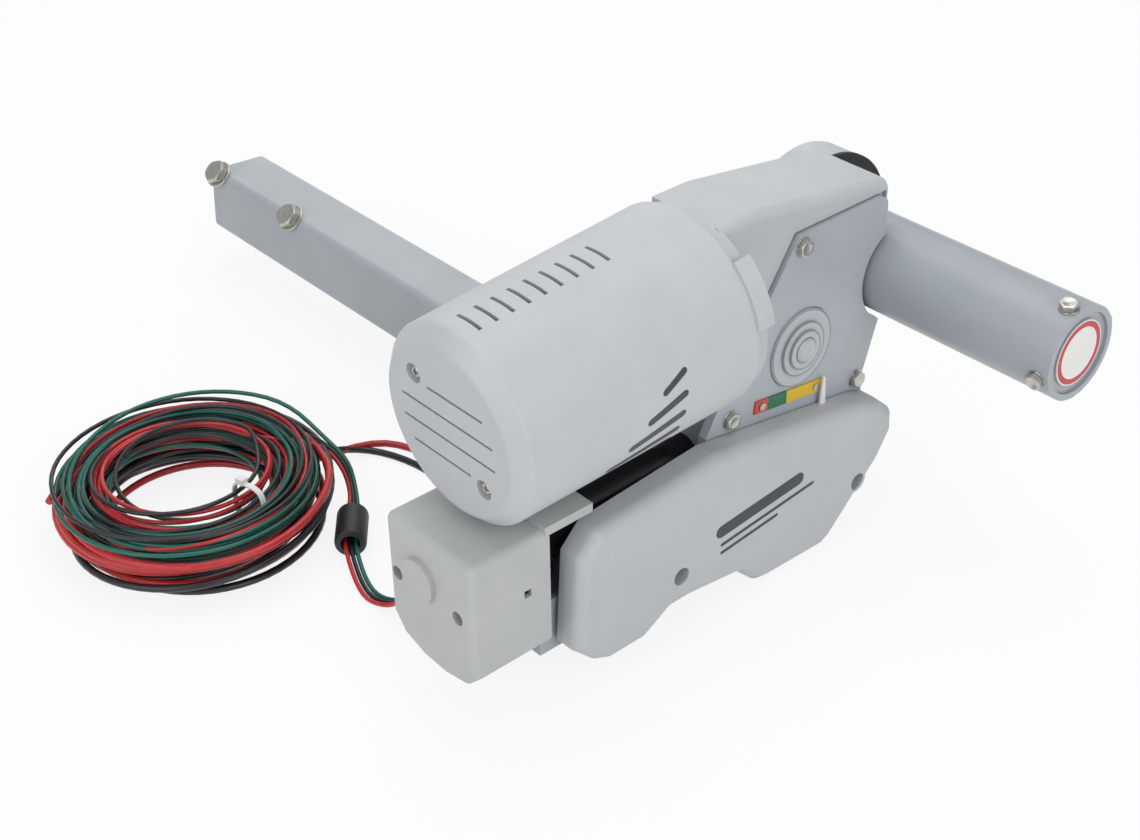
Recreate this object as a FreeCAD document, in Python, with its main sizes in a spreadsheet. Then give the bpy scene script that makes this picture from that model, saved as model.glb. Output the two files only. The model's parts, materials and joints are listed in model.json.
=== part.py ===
import FreeCAD, Part
import math
import os
import re
import Sketcher
from FreeCAD import Placement, Rotation, Vector

# A caravan motor mover: an electric drive that swings a roller against a caravan's tyre.
# Sizes are in millimetres. X runs along the roller's axis, out of the caravan. Y runs towards the
# tyre, and Z is up. Places are measured from the layshaft's centre on the side plate's outer face,
# and pin_x, pin_y and pin_z then carry every piece to the part's own origin, under its middle.

os.makedirs("parts", exist_ok=True)
doc = FreeCAD.newDocument("MotorMover")
sheet = doc.addObject("Spreadsheet::Sheet", "Sizes")
finished = []

SIZES = {
    # Origin: the layshaft's centre, seen from under the middle of the part
    "pin_x": 214.5,
    "pin_y": 62.5,
    "pin_z": 147.3,

    # Side plate and inner plate of the moving carriage
    "plate_thickness": 6,
    "plate_top": 78.5,
    "plate_bottom": -84,
    "plate_rear": 72,
    "plate_waist": 61,
    "plate_nose": -79,
    "plate_shoulder": -6.8,
    "plate_corner": 8,
    "inner_plate_outer_face": -46,
    "plate_bolt_radius": 3,
    "plate_bolt_flats": 10,
    "plate_bolt_head": 4,

    # Bearing cap in the side plate
    "cap_radius": 26,
    "cap_gap": 0.4,
    "cap_stand": 1.5,
    "cap_ring_radius": 18,
    "cap_boss_radius": 13,
    "cap_dome_radius": 8.5,
    "cap_step": 1.6,

    # Position strip and pointer
    "strip_length": 61.6,
    "strip_height": 8.6,
    "strip_thickness": 1.2,
    "strip_slope": 8,
    "strip_middle": -8.8,
    "strip_level": -31,
    "rivet_radius": 2.5,
    "rivet_spacing": 48.7,
    "pointer_place": 19.5,
    "pointer_tip": -28,
    "pointer_width": 5,
    "pointer_thickness": 1.5,
    "pointer_stand": 3,

    # Roller, its shaft and its hub
    "roller_radius": 30,
    "roller_wall": 4,
    "roller_end": 136,
    "roller_start": -57,
    "roller_y": 87.56,
    "roller_z": 21.04,
    "scallop_gap": 3.5,
    "hub_thickness": 14,
    "hub_recess": 2,
    "hub_boss_radius": 21.5,
    "hub_boss_stand": 1,
    "shaft_radius": 12.5,
    "carrier_radius": 22,
    "carrier_wall": 4.5,
    "carrier_end": 70,
    "carrier_flange_radius": 29,
    "roller_bearing_width": 12,
    "radial_bolt_place": 128,
    "radial_bolt_radius": 3,
    "radial_bolt_flats": 10,
    "radial_bolt_head": 4,
    "washer_radius": 6,
    "washer_thickness": 1.2,

    # Gear train
    "gear_module": 2.5,
    "pinion_teeth": 33,
    "final_teeth": 39,
    "gear_width": 16,
    "gear_inner_face": -82,
    "layshaft_radius": 10,
    "wheel_teeth": 36,
    "wheel_module": 2.25,
    "wheel_width": 16,
    "worm_radius": 7,
    "worm_length": 46,
    "motor_shaft_radius": 4,
    "tooth_play": 0.5,
    "running_fit": 0.05,
    "seat_gap": 0.1,

    # Gear housing, in two halves with a gasket between them
    "housing_outer_face": -3,
    "housing_split": -59,
    "gasket_thickness": 3,
    "housing_inner_face": -90,
    "housing_wall": 4,
    "housing_top": 103.5,
    "housing_top_end": -40,
    "housing_rear": 78,
    "housing_rear_drop": 17.6,
    "housing_round": 6,
    "housing_corner": 9,
    "pin_boss_radius": 48,
    "roller_boss_radius": 54.5,
    "housing_floor": -16,
    "cavity_gap": 2,
    "panel_gap": 1,

    # Motor and its cover
    "motor_x": -30,
    "motor_y": -74,
    "motor_z": 45.9,
    "motor_tilt": 3.16,
    "cover_radius": 64,
    "cover_shrink": 3.3,
    "cover_side_length": 162,
    "cover_length": 170.5,
    "cover_bevel": 8.7,
    "cover_round": 4,
    "cover_wall": 3,
    "cover_cap_wall": 5,
    "vent_count": 9,
    "vent_pitch": 11.2,
    "vent_first": 60.6,
    "vent_width": 2.5,
    "vent_length": 19.5,
    "vent_offset": -9,
    "groove_width": 1.6,
    "groove_depth": 1.2,
    "groove_upper": 21.2,
    "groove_pitch": 14.2,
    "screw_pocket_radius": 6,
    "screw_pocket_depth": 3.5,
    "screw_across": 26.5,
    "screw_height": 25,
    "tab_stand": 2,
    "tab_start": -0.7,
    "tab_end": 11.6,
    "tab_low_angle": 10,
    "tab_sweep": 37,
    "flange_radius": 61,
    "flange_thickness": 10,
    "motor_can_radius": 50,
    "motor_can_length": 150,

    # Fixed base: channel, front plate and bush blocks
    "base_inner_face": -60,
    "base_outer_face": -3,
    "base_steel": 3,
    "base_bottom": -125,
    "base_rear": 64,
    "outer_flange_top": -88,
    "inner_flange_top": -62,
    "front_plate_steel": 6,
    "front_plate_top": -30,
    "block_length": 20,
    "front_block_start": -100,
    "rear_block_start": 4,
    "block_top": -80,
    "block_side_gap": 0.5,

    # Guide rods and the carriage blocks that hold them
    "rod_radius": 6,
    "rod_outer_x": -17,
    "rod_inner_x": -36,
    "rod_level": -92,
    "rod_start": -150,
    "bush_radius": 8,
    "carriage_front_start": -72,
    "carriage_front_length": 26,
    "carriage_front_top": -19,
    "carriage_rear_start": 40,
    "carriage_rear_length": 21,
    "carriage_rear_top": -38,
    "carriage_bottom": -104,

    # Actuator that pushes the carriage
    "actuator_x": -26,
    "actuator_z": -58,
    "actuator_radius": 17.5,
    "actuator_wall": 2.2,
    "actuator_front": -214,
    "actuator_end": -98,
    "push_radius": 15,
    "push_start": -190,
    "push_seat": 12,
    "push_bore": 8,
    "nut_radius": 12,
    "nut_length": 18,
    "spindle_radius": 5,
    "spindle_start": -229,
    "spindle_end": -105,
    "spindle_gear_teeth": 20,
    "crank_gear_teeth": 10,
    "small_module": 0.8,
    "small_gear_width": 6,
    "small_gear_start": -226,
    "crank_offset": 12,
    "gearcase_start": -229,
    "gearcase_radius": 12,
    "small_motor_radius": 15,
    "small_motor_start": -256,
    "small_motor_end": -230,
    "crank_shaft_radius": 2.5,

    # Control box in front of the base, in two shells
    "box_inner_face": -68.5,
    "box_outer_face": 8,
    "box_front": -264,
    "box_seam": -231,
    "box_rear": -208,
    "box_top": -27,
    "box_inner_corner": -98,
    "box_belly": -117.5,
    "box_outer_corner": -104,
    "box_round": 5,
    "box_wall": 3,
    "ledge_rear": -176,
    "ledge_height": 6,
    "ledge_inner_face": -8,
    "plug_radius": 13.5,
    "plug_stand": 3,
    "box_screw_inner": -59.8,
    "box_screw_outer": -5.5,
    "box_screw_level": -66.5,
    "box_screw_well": 4.5,
    "lock_hole": 5,
    "lock_hole_y": -224.5,
    "lock_hole_z": -62.5,

    # Lower cover beside the base, which the part stands on
    "lower_inner_face": 1,
    "lower_outer_face": 20,
    "lower_wall": 3,
    "lower_round": 8,
    "lower_corner": 3,
    "lower_nose": -198.4,
    "lower_tail": 73.9,
    "lower_top": -31,
    "lower_foot": -147.3,
    "lower_skid": -135.4,
    "lower_arch": -123.5,
    "cover_screw_front_y": -116.4,
    "cover_screw_front_z": -102.1,
    "cover_screw_rear_y": 41.2,
    "cover_screw_rear_z": -109.8,
    "cover_screw_well": 6,
    "cover_screw_radius": 3,
    "pillar_wall": 2.5,

    # Cross tube that clamps to the chassis, with its clamp bolts
    "tube_side": 50,
    "tube_wall": 3,
    "tube_round": 6,
    "tube_end": -562,
    "tube_y": -45.7,
    "tube_z": -88.9,
    "tube_roll": 3.5,
    "clamp_bolt_radius": 5,
    "clamp_bolt_flats": 16.5,
    "clamp_bolt_head": 6.4,
    "clamp_washer_radius": 11,
    "clamp_washer_thickness": 1.6,
    "clamp_bolt_length": 8,
    "clamp_outer_x": -554,
    "clamp_spacing": 100,

    # Cables, their gland and what is on them
    "lead_diameter": 5,
    "wire_diameter": 3,
    "gland_radius": 8,
    "gland_length": 14,
    "gland_y": -128,
    "gland_z": -104,
    "coil_x": -275,
    "coil_y": -275,
    "coil_outer_radius": 97,
    "coil_inner_radius": 66,
    "coil_height": 36,
    "hank_outer_radius": 86,
    "hank_inner_radius": 62,
    "hank_height": 16,
    "ferrite_x": -176,
    "ferrite_y": -208,
    "ferrite_height": 26,
    "ferrite_bore": 13,
    "ferrite_length": 24,
    "tie_width": 4,
    "tie_thickness": 1.4,
    "grommet_radius": 7,
    "grommet_length": 7,
    "wire_exit_y": -223,
    "wire_exit_z": -96,
}

# Write each size to the sheet, under its own name
for row, (name, amount) in enumerate(SIZES.items(), start=1):
    sheet.set(f"A{row}", name)
    sheet.set(f"B{row}", str(amount))
    sheet.setAlias(f"B{row}", name)

doc.recompute()


def value(name):
    """Read one size back from the sheet, for the shapes that are made by formula."""
    return float(sheet.get(name))


def bound(text):
    """Put the sheet's name before each size that an expression mentions."""
    return re.sub(r"[a-z][a-z_]*", lambda word: "Sizes." + word.group(0)
                  if word.group(0) in SIZES else word.group(0), str(text))


def bind(item, prop, text):
    """Tie one property of an object to the sheet."""
    item.setExpression(prop, bound(text))


def put(item, x, y, z):
    """Tie an object's place to the sheet, and remember it."""
    if "Where" not in item.PropertiesList:
        item.addProperty("App::PropertyStringList", "Where")
    item.Where = [str(x), str(y), str(z)]
    for axis, text in zip("xyz", (x, y, z)):
        bind(item, f"Placement.Base.{axis}", text)
    return item


def rod(name, axis, x, y, z, radius, length):
    """A cylinder that starts at a point and runs along the positive X, Y or Z axis."""
    item = doc.addObject("Part::Cylinder", name)
    turns = {"X": Rotation(Vector(0, 1, 0), 90), "Y": Rotation(Vector(1, 0, 0), -90), "Z": Rotation()}
    item.Placement = Placement(Vector(0, 0, 0), turns[axis])
    bind(item, "Radius", radius)
    bind(item, "Height", length)
    return put(item, x, y, z)


def bar(name, x, y, z, length, width, height):
    """A box with its lowest corner at a point."""
    item = doc.addObject("Part::Box", name)
    bind(item, "Length", length)
    bind(item, "Width", width)
    bind(item, "Height", height)
    return put(item, x, y, z)


def nut(name, axis, x, y, z, flats, length):
    """A six-sided prism, such as a bolt's head."""
    item = doc.addObject("Part::Prism", name)
    turns = {"X": Rotation(Vector(0, 1, 0), 90), "Y": Rotation(Vector(1, 0, 0), -90), "Z": Rotation()}
    item.Placement = Placement(Vector(0, 0, 0), turns[axis])
    item.Polygon = 6
    bind(item, "Circumradius", f"({flats}) / sqrt(3)")
    bind(item, "Height", length)
    return put(item, x, y, z)


def join(name, pieces):
    """Weld overlapping shapes into one solid."""
    item = doc.addObject("Part::MultiFuse", name)
    item.Shapes = pieces
    item.Refine = True
    return item


def gather(name, pieces):
    """Keep like pieces together in one node, as separate solids."""
    item = doc.addObject("Part::Compound", name)
    item.Links = pieces
    return item


def cut(name, base, tools):
    """Take one or more shapes away from another."""
    item = doc.addObject("Part::Cut", name)
    item.Base = base
    item.Tool = tools[0] if len(tools) == 1 else join(name + "_tools", tools)
    return item


def tube(name, axis, x, y, z, radius, bore, length):
    """A round tube."""
    outer = rod(name + "_outer", axis, x, y, z, radius, length)
    inner = rod(name + "_bore", axis, x, y, z, bore, length)
    return cut(name, outer, [inner])


def shape(name, solid):
    """A piece whose form is worked out by formula."""
    item = doc.addObject("Part::Feature", name)
    item.Shape = solid
    return item


def finish(item, node):
    """Name a sub-part and carry it from the layshaft's frame to the part's own."""
    where = list(item.Where) if "Where" in item.PropertiesList else ["0", "0", "0"]
    for axis, text in zip("xyz", where):
        bind(item, f"Placement.Base.{axis}", f"pin_{axis} + ({text})")
    item.Label = node
    finished.append(item)
    return item


# Sketches and the features that use them
def new_body(name):
    return doc.addObject("PartDesign::Body", name)


def sketch_on(body, role, level):
    """A sketch on one of the body's own origin planes, moved along the plane's normal."""
    sketch = body.newObject("Sketcher::SketchObject", "Outline")
    plane = [feature for feature in body.Origin.OriginFeatures if feature.Role == role][0]
    sketch.AttachmentSupport = [(plane, "")]
    sketch.MapMode = "FlatFace"
    bind(sketch, "AttachmentOffset.Base.z", level)
    return sketch


def polygon(sketch, points):
    """A closed outline whose corners are each held by two sizes."""
    count = len(points)
    first = sketch.GeometryCount
    turn = 2 * math.pi / count
    start = [Vector(50 * math.cos(turn * i), 50 * math.sin(turn * i), 0) for i in range(count)]
    for i in range(count):
        sketch.addGeometry(Part.LineSegment(start[i], start[(i + 1) % count]), False)
    for i in range(count):
        sketch.addConstraint(Sketcher.Constraint("Coincident", first + i, 2, first + (i + 1) % count, 1))
    for i, (across, up) in enumerate(points):
        key = sketch.addConstraint(Sketcher.Constraint("DistanceX", -1, 1, first + i, 1, start[i].x))
        bind(sketch, f"Constraints[{key}]", across)
        key = sketch.addConstraint(Sketcher.Constraint("DistanceY", -1, 1, first + i, 1, start[i].y))
        bind(sketch, f"Constraints[{key}]", up)


def circle(sketch, across, up, radius):
    """A circle held by its centre and its radius."""
    first = sketch.GeometryCount
    sketch.addGeometry(Part.Circle(Vector(5, 5, 0), Vector(0, 0, 1), 3), False)
    for kind, text in (("DistanceX", across), ("DistanceY", up)):
        key = sketch.addConstraint(Sketcher.Constraint(kind, -1, 1, first, 3, 5))
        bind(sketch, f"Constraints[{key}]", text)
    key = sketch.addConstraint(Sketcher.Constraint("Radius", first, 3))
    bind(sketch, f"Constraints[{key}]", radius)


def pad(body, sketch, length):
    feature = body.newObject("PartDesign::Pad", "Pad")
    feature.Profile = sketch
    bind(feature, "Length", length)
    return feature


def pocket(body, sketch, length):
    """A cut from the sketch's plane along its normal."""
    feature = body.newObject("PartDesign::Pocket", "Pocket")
    feature.Profile = sketch
    feature.Reversed = True
    bind(feature, "Length", length)
    return feature


def revolve(body, sketch, groove=False):
    """A full turn about the sketch's upright axis."""
    kind = "PartDesign::Groove" if groove else "PartDesign::Revolution"
    feature = body.newObject(kind, "Turned")
    feature.Profile = sketch
    feature.ReferenceAxis = (sketch, ["V_Axis"])
    feature.Angle = 360
    return feature


def fillet(body, base, radius, wanted):
    """Round the edges of a feature that pass a test of their place."""
    doc.recompute()
    edges = [f"Edge{i + 1}" for i, edge in enumerate(base.Shape.Edges) if wanted(edge)]
    feature = body.newObject("PartDesign::Fillet", "Fillet")
    feature.Base = (base, edges)
    bind(feature, "Radius", radius)
    return feature


def runs_along(edge, axis):
    """Whether an edge is straight and parallel to an axis."""
    if not isinstance(edge.Curve, Part.Line):
        return False
    return abs(abs(edge.tangentAt(edge.FirstParameter).dot(axis)) - 1) < 1e-6


def middle(edge):
    return edge.BoundBox.Center


ALONG_X = Vector(1, 0, 0)
ALONG_Y = Vector(0, 1, 0)
ALONG_Z = Vector(0, 0, 1)


# Gears: involute teeth, one profile for every toothed wheel
def gear_solid(teeth, module, width, bore, x, y, z, phase, axis):
    """A spur gear along X or Y. One tooth stands at the angle phase, in degrees."""
    pitch = teeth * module / 2
    base = pitch * math.cos(math.radians(20))
    tip = pitch + module
    root = pitch - 1.25 * module
    play = value("tooth_play") * module / value("gear_module")
    half_at_pitch = math.pi / (2 * teeth) - play / (2 * pitch)

    def involute(radius):
        angle = math.acos(min(1, base / radius))
        return math.tan(angle) - angle

    def half_width(radius):
        return half_at_pitch + involute(pitch) - involute(max(radius, base))

    flank = [root, max(root, base) + 0.1 * module, pitch, (pitch + tip) / 2, tip]
    points = []
    for tooth in range(teeth):
        middle_angle = math.radians(phase) + tooth * 2 * math.pi / teeth
        rising = [(radius, middle_angle - half_width(radius)) for radius in flank]
        falling = [(radius, middle_angle + half_width(radius)) for radius in reversed(flank)]
        points += [(radius * math.cos(angle), radius * math.sin(angle)) for radius, angle in rising + falling]
    if axis == "X":
        corners = [Vector(x, y + a, z + b) for a, b in points]
        along = Vector(width, 0, 0)
    else:
        corners = [Vector(x + a, y, z + b) for a, b in points]
        along = Vector(0, width, 0)
    blank = Part.Face(Part.makePolygon(corners + corners[:1])).extrude(along)
    return blank.cut(Part.makeCylinder(bore, width, Vector(x, y, z), along))


# Side plate
def plate_outline(grow):
    """The side plate's outline in Y and Z, left larger by a gap where a recess follows it."""
    return [(f"plate_shoulder - {grow}", f"plate_top + {grow}"),
            (f"plate_rear + {grow}", f"plate_top + {grow}"),
            (f"plate_rear + {grow}", "-9.9"),
            ("plate_waist", "-44.2"),
            ("plate_waist", "plate_bottom"),
            ("plate_nose - 5", "plate_bottom"),
            (f"plate_nose - {grow}", "lower_top"),
            (f"-69.7 - {grow}", "-14"),
            (f"-29.6 - {grow}", "44.8")]


def side_plate():
    body = new_body("SidePlate")
    outline = sketch_on(body, "YZ_Plane", "-plate_thickness")
    polygon(outline, plate_outline("0"))
    slab = pad(body, outline, "plate_thickness")
    holes = sketch_on(body, "YZ_Plane", "-plate_thickness")
    circle(holes, "0", "0", "cap_radius + cap_gap")
    pocket(body, holes, "plate_thickness")
    holes = sketch_on(body, "YZ_Plane", "-plate_thickness")
    for y, z in PLATE_BOLTS:
        circle(holes, y, z, "plate_bolt_radius + seat_gap")
    pocket(body, holes, "plate_thickness")
    scallop = sketch_on(body, "YZ_Plane", "-plate_thickness")
    circle(scallop, "roller_y", "roller_z", "roller_radius + scallop_gap")
    last = pocket(body, scallop, "plate_thickness")
    corner = value("plate_rear")
    top = value("plate_top")
    fillet(body, last, "plate_corner", lambda edge: runs_along(edge, ALONG_X)
           and abs(middle(edge).y - corner) < 1 and abs(middle(edge).z - top) < 1)
    finish(body, "side_plate")


PLATE_BOLTS = [("-3.5", "70.1"), ("54.6", "-45.9"), ("-59.1", "-25.9")]


def plate_bolts():
    bolts = []
    for y, z in PLATE_BOLTS:
        head = nut("BoltHead", "X", "0", y, z, "plate_bolt_flats", "plate_bolt_head")
        shank = rod("BoltShank", "X", "-plate_thickness - 12", y, z, "plate_bolt_radius", "plate_thickness + 13")
        bolts.append(join("PlateBolt", [head, shank]))
    finish(gather("PlateBolts", bolts), "plate_bolts")


def inner_plate():
    body = new_body("InnerPlate")
    outline = sketch_on(body, "YZ_Plane", "inner_plate_outer_face - plate_thickness")
    polygon(outline, [("carriage_front_start", "carriage_front_top"),
                      ("carriage_front_start + carriage_front_length", "carriage_front_top"),
                      ("carriage_front_start + carriage_front_length + 4", "-pin_boss_radius - 4"),
                      ("carriage_rear_start", "carriage_rear_top - 20"),
                      ("carriage_rear_start + carriage_rear_length", "carriage_rear_top - 20"),
                      ("carriage_rear_start + carriage_rear_length", "carriage_bottom"),
                      ("carriage_front_start", "carriage_bottom")])
    pad(body, outline, "plate_thickness")
    finish(body, "inner_plate")


def bearing_cap():
    """A turned cap with two raised rings and a dome, which closes the layshaft's bearing."""
    body = new_body("BearingCap")
    sketch = sketch_on(body, "XZ_Plane", "0")
    polygon(sketch, [("0", "-plate_thickness"),
                     ("cap_radius", "-plate_thickness"),
                     ("cap_radius", "cap_stand"),
                     ("cap_ring_radius", "cap_stand"),
                     ("cap_ring_radius", "cap_stand + cap_step"),
                     ("cap_boss_radius", "cap_stand + cap_step"),
                     ("cap_boss_radius", "cap_stand + 2 * cap_step"),
                     ("cap_dome_radius", "cap_stand + 2 * cap_step"),
                     ("cap_dome_radius - 2", "cap_stand + 3 * cap_step"),
                     ("0", "cap_stand + 3 * cap_step + 0.6")])
    revolve(body, sketch)
    body.Placement = Placement(Vector(0, 0, 0), Rotation(Vector(0, 1, 0), 90))
    finish(body, "bearing_cap")


def indicator_strip():
    strip = doc.addObject("Part::Box", "Strip")
    strip.Placement = Placement(Vector(0, 0, 0), Rotation(Vector(1, 0, 0), -value("strip_slope")))
    bind(strip, "Length", "strip_thickness")
    bind(strip, "Width", "strip_length")
    bind(strip, "Height", "strip_height")
    put(strip, "0", "strip_middle - strip_length / 2 * cos(strip_slope * 1deg)",
        "strip_level - strip_height / 2 + strip_length / 2 * sin(strip_slope * 1deg)")
    finish(strip, "indicator_strip")
    rivets = []
    for side in (-1, 1):
        head = rod("Rivet", "X", "strip_thickness",
                   f"strip_middle + {side} * rivet_spacing / 2 * cos(strip_slope * 1deg)",
                   f"strip_level - {side} * rivet_spacing / 2 * sin(strip_slope * 1deg)", "rivet_radius", "1.1")
        rivets.append(head)
    finish(gather("Rivets", rivets), "strip_rivets")


# Gear housing
def housing_outline():
    """The outline in Y and Z that the front half of the gear housing shows from the side."""
    return [("motor_y + flange_thickness / 2", "housing_top"),
            ("housing_top_end", "housing_top"),
            ("housing_rear", "housing_top - housing_rear_drop"),
            ("housing_rear", "roller_z"),
            ("plate_rear", "housing_floor"),
            ("pin_boss_radius - 6", "housing_floor"),
            ("pin_boss_radius - 18", "-36"),
            ("10", "-pin_boss_radius"),
            ("-10", "-pin_boss_radius"),
            ("-pin_boss_radius + 18", "-36"),
            ("-pin_boss_radius + 2", "housing_floor"),
            ("motor_y + flange_thickness / 2", "housing_floor")]


def motor_frame(item):
    """Set a piece on the motor's own axis, whose local Z runs away from the gears."""
    item.Placement = Placement(Vector(0, 0, 0), Rotation(Vector(1, 0, 0), 90 + value("motor_tilt")))
    return put(item, "motor_x", "motor_y", "motor_z")


def motor_rod(name, start, radius, length):
    """A cylinder on the motor's axis that starts at a distance along it."""
    body = new_body(name)
    circle_sketch = sketch_on(body, "XY_Plane", start)
    circle(circle_sketch, "0", "0", radius)
    pad(body, circle_sketch, length)
    return motor_frame(body)


def gear_housing_front():
    body = new_body("HousingFront")
    outline = sketch_on(body, "YZ_Plane", "housing_split")
    polygon(outline, housing_outline())
    block = pad(body, outline, "housing_outer_face - housing_split")
    outer_face = value("housing_outer_face")
    top = value("housing_top")
    rear = value("housing_rear")
    drop = value("housing_rear_drop")
    round_top = fillet(body, block, "housing_corner", lambda edge: runs_along(edge, ALONG_X)
                       and abs(middle(edge).y - rear) < 1 and middle(edge).z > top - drop - 1)
    round_top = fillet(body, round_top, "housing_round", lambda edge: abs(middle(edge).x - outer_face) < 0.01
                       and middle(edge).z > top - drop - 9 and middle(edge).y < rear - 1
                       and abs(edge.BoundBox.ZMin - top) < drop + 9)
    recess = sketch_on(body, "YZ_Plane", "-plate_thickness")
    polygon(recess, plate_outline("panel_gap"))
    pocket(body, recess, "plate_thickness")
    scallop = sketch_on(body, "YZ_Plane", "housing_split")
    circle(scallop, "roller_y", "roller_z", "roller_radius + scallop_gap")
    pocket(body, scallop, "housing_outer_face - housing_split")
    cavity = sketch_on(body, "YZ_Plane", "housing_split")
    circle(cavity, "0", "0", "wheel_module * (wheel_teeth + 2) / 2 + cavity_gap")
    pocket(body, cavity, "-housing_split - 16")
    bore = sketch_on(body, "YZ_Plane", "housing_split")
    circle(bore, "0", "0", "layshaft_radius + 6 + seat_gap")
    pocket(body, bore, "-housing_split")
    flange = motor_rod("MotorFlange", "-flange_thickness", "flange_radius", "flange_thickness")
    plate_room = new_body("PlateRoom")
    room = sketch_on(plate_room, "YZ_Plane", "-plate_thickness - 0.01")
    polygon(room, plate_outline("panel_gap"))
    pad(plate_room, room, "plate_thickness + 40")
    trimmed = cut("FlangeTrimmed", flange, [plate_room])
    worm_room = motor_rod("WormRoom", "-110", "worm_radius + cavity_gap", "111")
    whole = join("HousingWhole", [body, trimmed])
    bolt_y, bolt_z = PLATE_BOLTS[0]
    bolt_hole = rod("HousingBoltHole", "X", "-plate_thickness - 13", bolt_y, bolt_z,
                    "plate_bolt_radius + seat_gap", "14")
    finish(cut("HousingFrontCut", whole, [worm_room, bolt_hole]), "gear_housing_front")


def rear_outline(name, start, width):
    """The shared outline of the gasket and the rear half: two round bosses joined by straight sides."""
    big = rod(name + "Big", "X", start, "roller_y", "roller_z", "roller_boss_radius", width)
    small = rod(name + "Small", "X", start, "0", "0", "pin_boss_radius", width)
    body = new_body(name + "Web")
    web = sketch_on(body, "YZ_Plane", start)
    polygon(web, [("-11", "pin_boss_radius - 1.5"),
                  ("48", "housing_top - 14.5"),
                  ("61", "88"),
                  ("roller_y - 4", "roller_z + roller_boss_radius - 0.5"),
                  ("roller_y + 14", "roller_z - roller_boss_radius + 2"),
                  ("12", "-pin_boss_radius + 1.8")])
    pad(body, web, width)
    return join(name + "Outline", [big, small, body])


def gear_cavities(name, start, width):
    """The round rooms that the pinion and the final gear turn in."""
    pinion = rod(name + "Pinion", "X", start, "0", "0", "gear_module * (pinion_teeth + 2) / 2 + cavity_gap", width)
    final = rod(name + "Final", "X", start, "roller_y", "roller_z",
                "gear_module * (final_teeth + 2) / 2 + cavity_gap / 3", width)
    return [pinion, final]


def gear_housing_rear():
    start = "housing_inner_face"
    width = "housing_split - gasket_thickness - housing_inner_face"
    blank = rear_outline("Rear", start, width)
    rooms = gear_cavities("RearRoom", "housing_inner_face + housing_wall", width)
    finish(cut("HousingRear", blank, rooms), "gear_housing_rear")


def housing_gasket():
    start = "housing_split - gasket_thickness"
    blank = rear_outline("Gasket", start, "gasket_thickness")
    opening = rod("GasketOpening", "X", start, "0", "0",
                  "gear_module * (pinion_teeth + 2) / 2 + cavity_gap", "gasket_thickness")
    roller_opening = rod("GasketRoller", "X", start, "roller_y", "roller_z",
                         "carrier_flange_radius + seat_gap", "gasket_thickness")
    finish(cut("GasketCut", blank, [opening, roller_opening]), "housing_gasket")


# Motor and its moulded cover
def motor_cover():
    body = new_body("MotorCover")
    sketch = sketch_on(body, "XZ_Plane", "0")
    polygon(sketch, [("cover_radius - cover_wall", "0"),
                     ("cover_radius", "0"),
                     ("cover_radius - cover_shrink", "cover_side_length"),
                     ("cover_radius - cover_shrink - cover_bevel", "cover_length"),
                     ("0", "cover_length"),
                     ("0", "cover_length - cover_cap_wall"),
                     ("cover_radius - cover_shrink - cover_bevel - 2", "cover_length - cover_cap_wall"),
                     ("cover_radius - cover_shrink - cover_wall", "cover_side_length - 2")])
    turned = revolve(body, sketch)
    bevel_radius = value("cover_radius") - value("cover_shrink")
    side_length = value("cover_side_length")
    full_length = value("cover_length")
    rounded = fillet(body, turned, "cover_round", lambda edge: isinstance(edge.Curve, Part.Circle)
                     and (abs(edge.Curve.Radius - bevel_radius) < 0.01 and middle(edge).z > side_length - 0.5
                          or middle(edge).z > full_length - 0.01))
    for row, low, high in ((0, -15.5, 31), (1, -39.5, 37.5), (2, -39.5, 38), (3, -33, 16)):
        groove = sketch_on(body, "XY_Plane", "cover_length - groove_depth")
        level = f"groove_upper - {row} * groove_pitch"
        polygon(groove, [(low, f"{level} - groove_width / 2"), (high, f"{level} - groove_width / 2"),
                         (high, f"{level} + groove_width / 2"), (low, f"{level} + groove_width / 2")])
        pocket(body, groove, "groove_depth")
    for side in (-1, 1):
        well = sketch_on(body, "XY_Plane", "cover_length - screw_pocket_depth")
        circle(well, f"{side} * screw_across", f"-{side} * screw_height", "screw_pocket_radius")
        pocket(body, well, "screw_pocket_depth")
    slot = sketch_on(body, "XZ_Plane", "-cover_radius - 5")
    polygon(slot, [("vent_offset", "vent_first - vent_width / 2"),
                   ("vent_offset + vent_length", "vent_first - vent_width / 2"),
                   ("vent_offset + vent_length", "vent_first + vent_width / 2"),
                   ("vent_offset", "vent_first + vent_width / 2")])
    vent = pocket(body, slot, "25")
    doc.recompute()
    row = body.newObject("PartDesign::LinearPattern", "Vents")
    row.Originals = [vent]
    upright = [feature for feature in body.Origin.OriginFeatures if feature.Role == "Z_Axis"][0]
    row.Direction = (upright, [""])
    bind(row, "Length", "(vent_count - 1) * vent_pitch")
    bind(row, "Occurrences", "vent_count")
    body.Tip = row
    tab = doc.addObject("Part::Cylinder", "TabOuter")
    tab.Placement = Placement(Vector(0, 0, -value("tab_end")), Rotation(Vector(0, 0, 1), value("tab_low_angle")))
    bind(tab, "Radius", "cover_radius + tab_stand")
    bind(tab, "Height", "tab_end - tab_start")
    bind(tab, "Angle", "tab_sweep")
    inside = doc.addObject("Part::Cylinder", "TabInner")
    inside.Placement = Placement(Vector(0, 0, -value("tab_end")), Rotation())
    bind(inside, "Radius", "flange_radius + 0.6")
    bind(inside, "Height", "tab_end - tab_start")
    band = cut("TabBand", tab, [inside])
    finish(motor_frame(join("MotorCoverWhole", [body, band])), "motor_cover")


def cap_screws():
    screws = []
    for side in (-1, 1):
        body = new_body("CapScrew")
        sketch = sketch_on(body, "XY_Plane", "cover_length - screw_pocket_depth")
        circle(sketch, f"{side} * screw_across", f"-{side} * screw_height", "screw_pocket_radius - 1.5")
        pad(body, sketch, "2")
        screws.append(body)
    finish(motor_frame(gather("CapScrews", screws)), "cap_screws")


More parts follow.
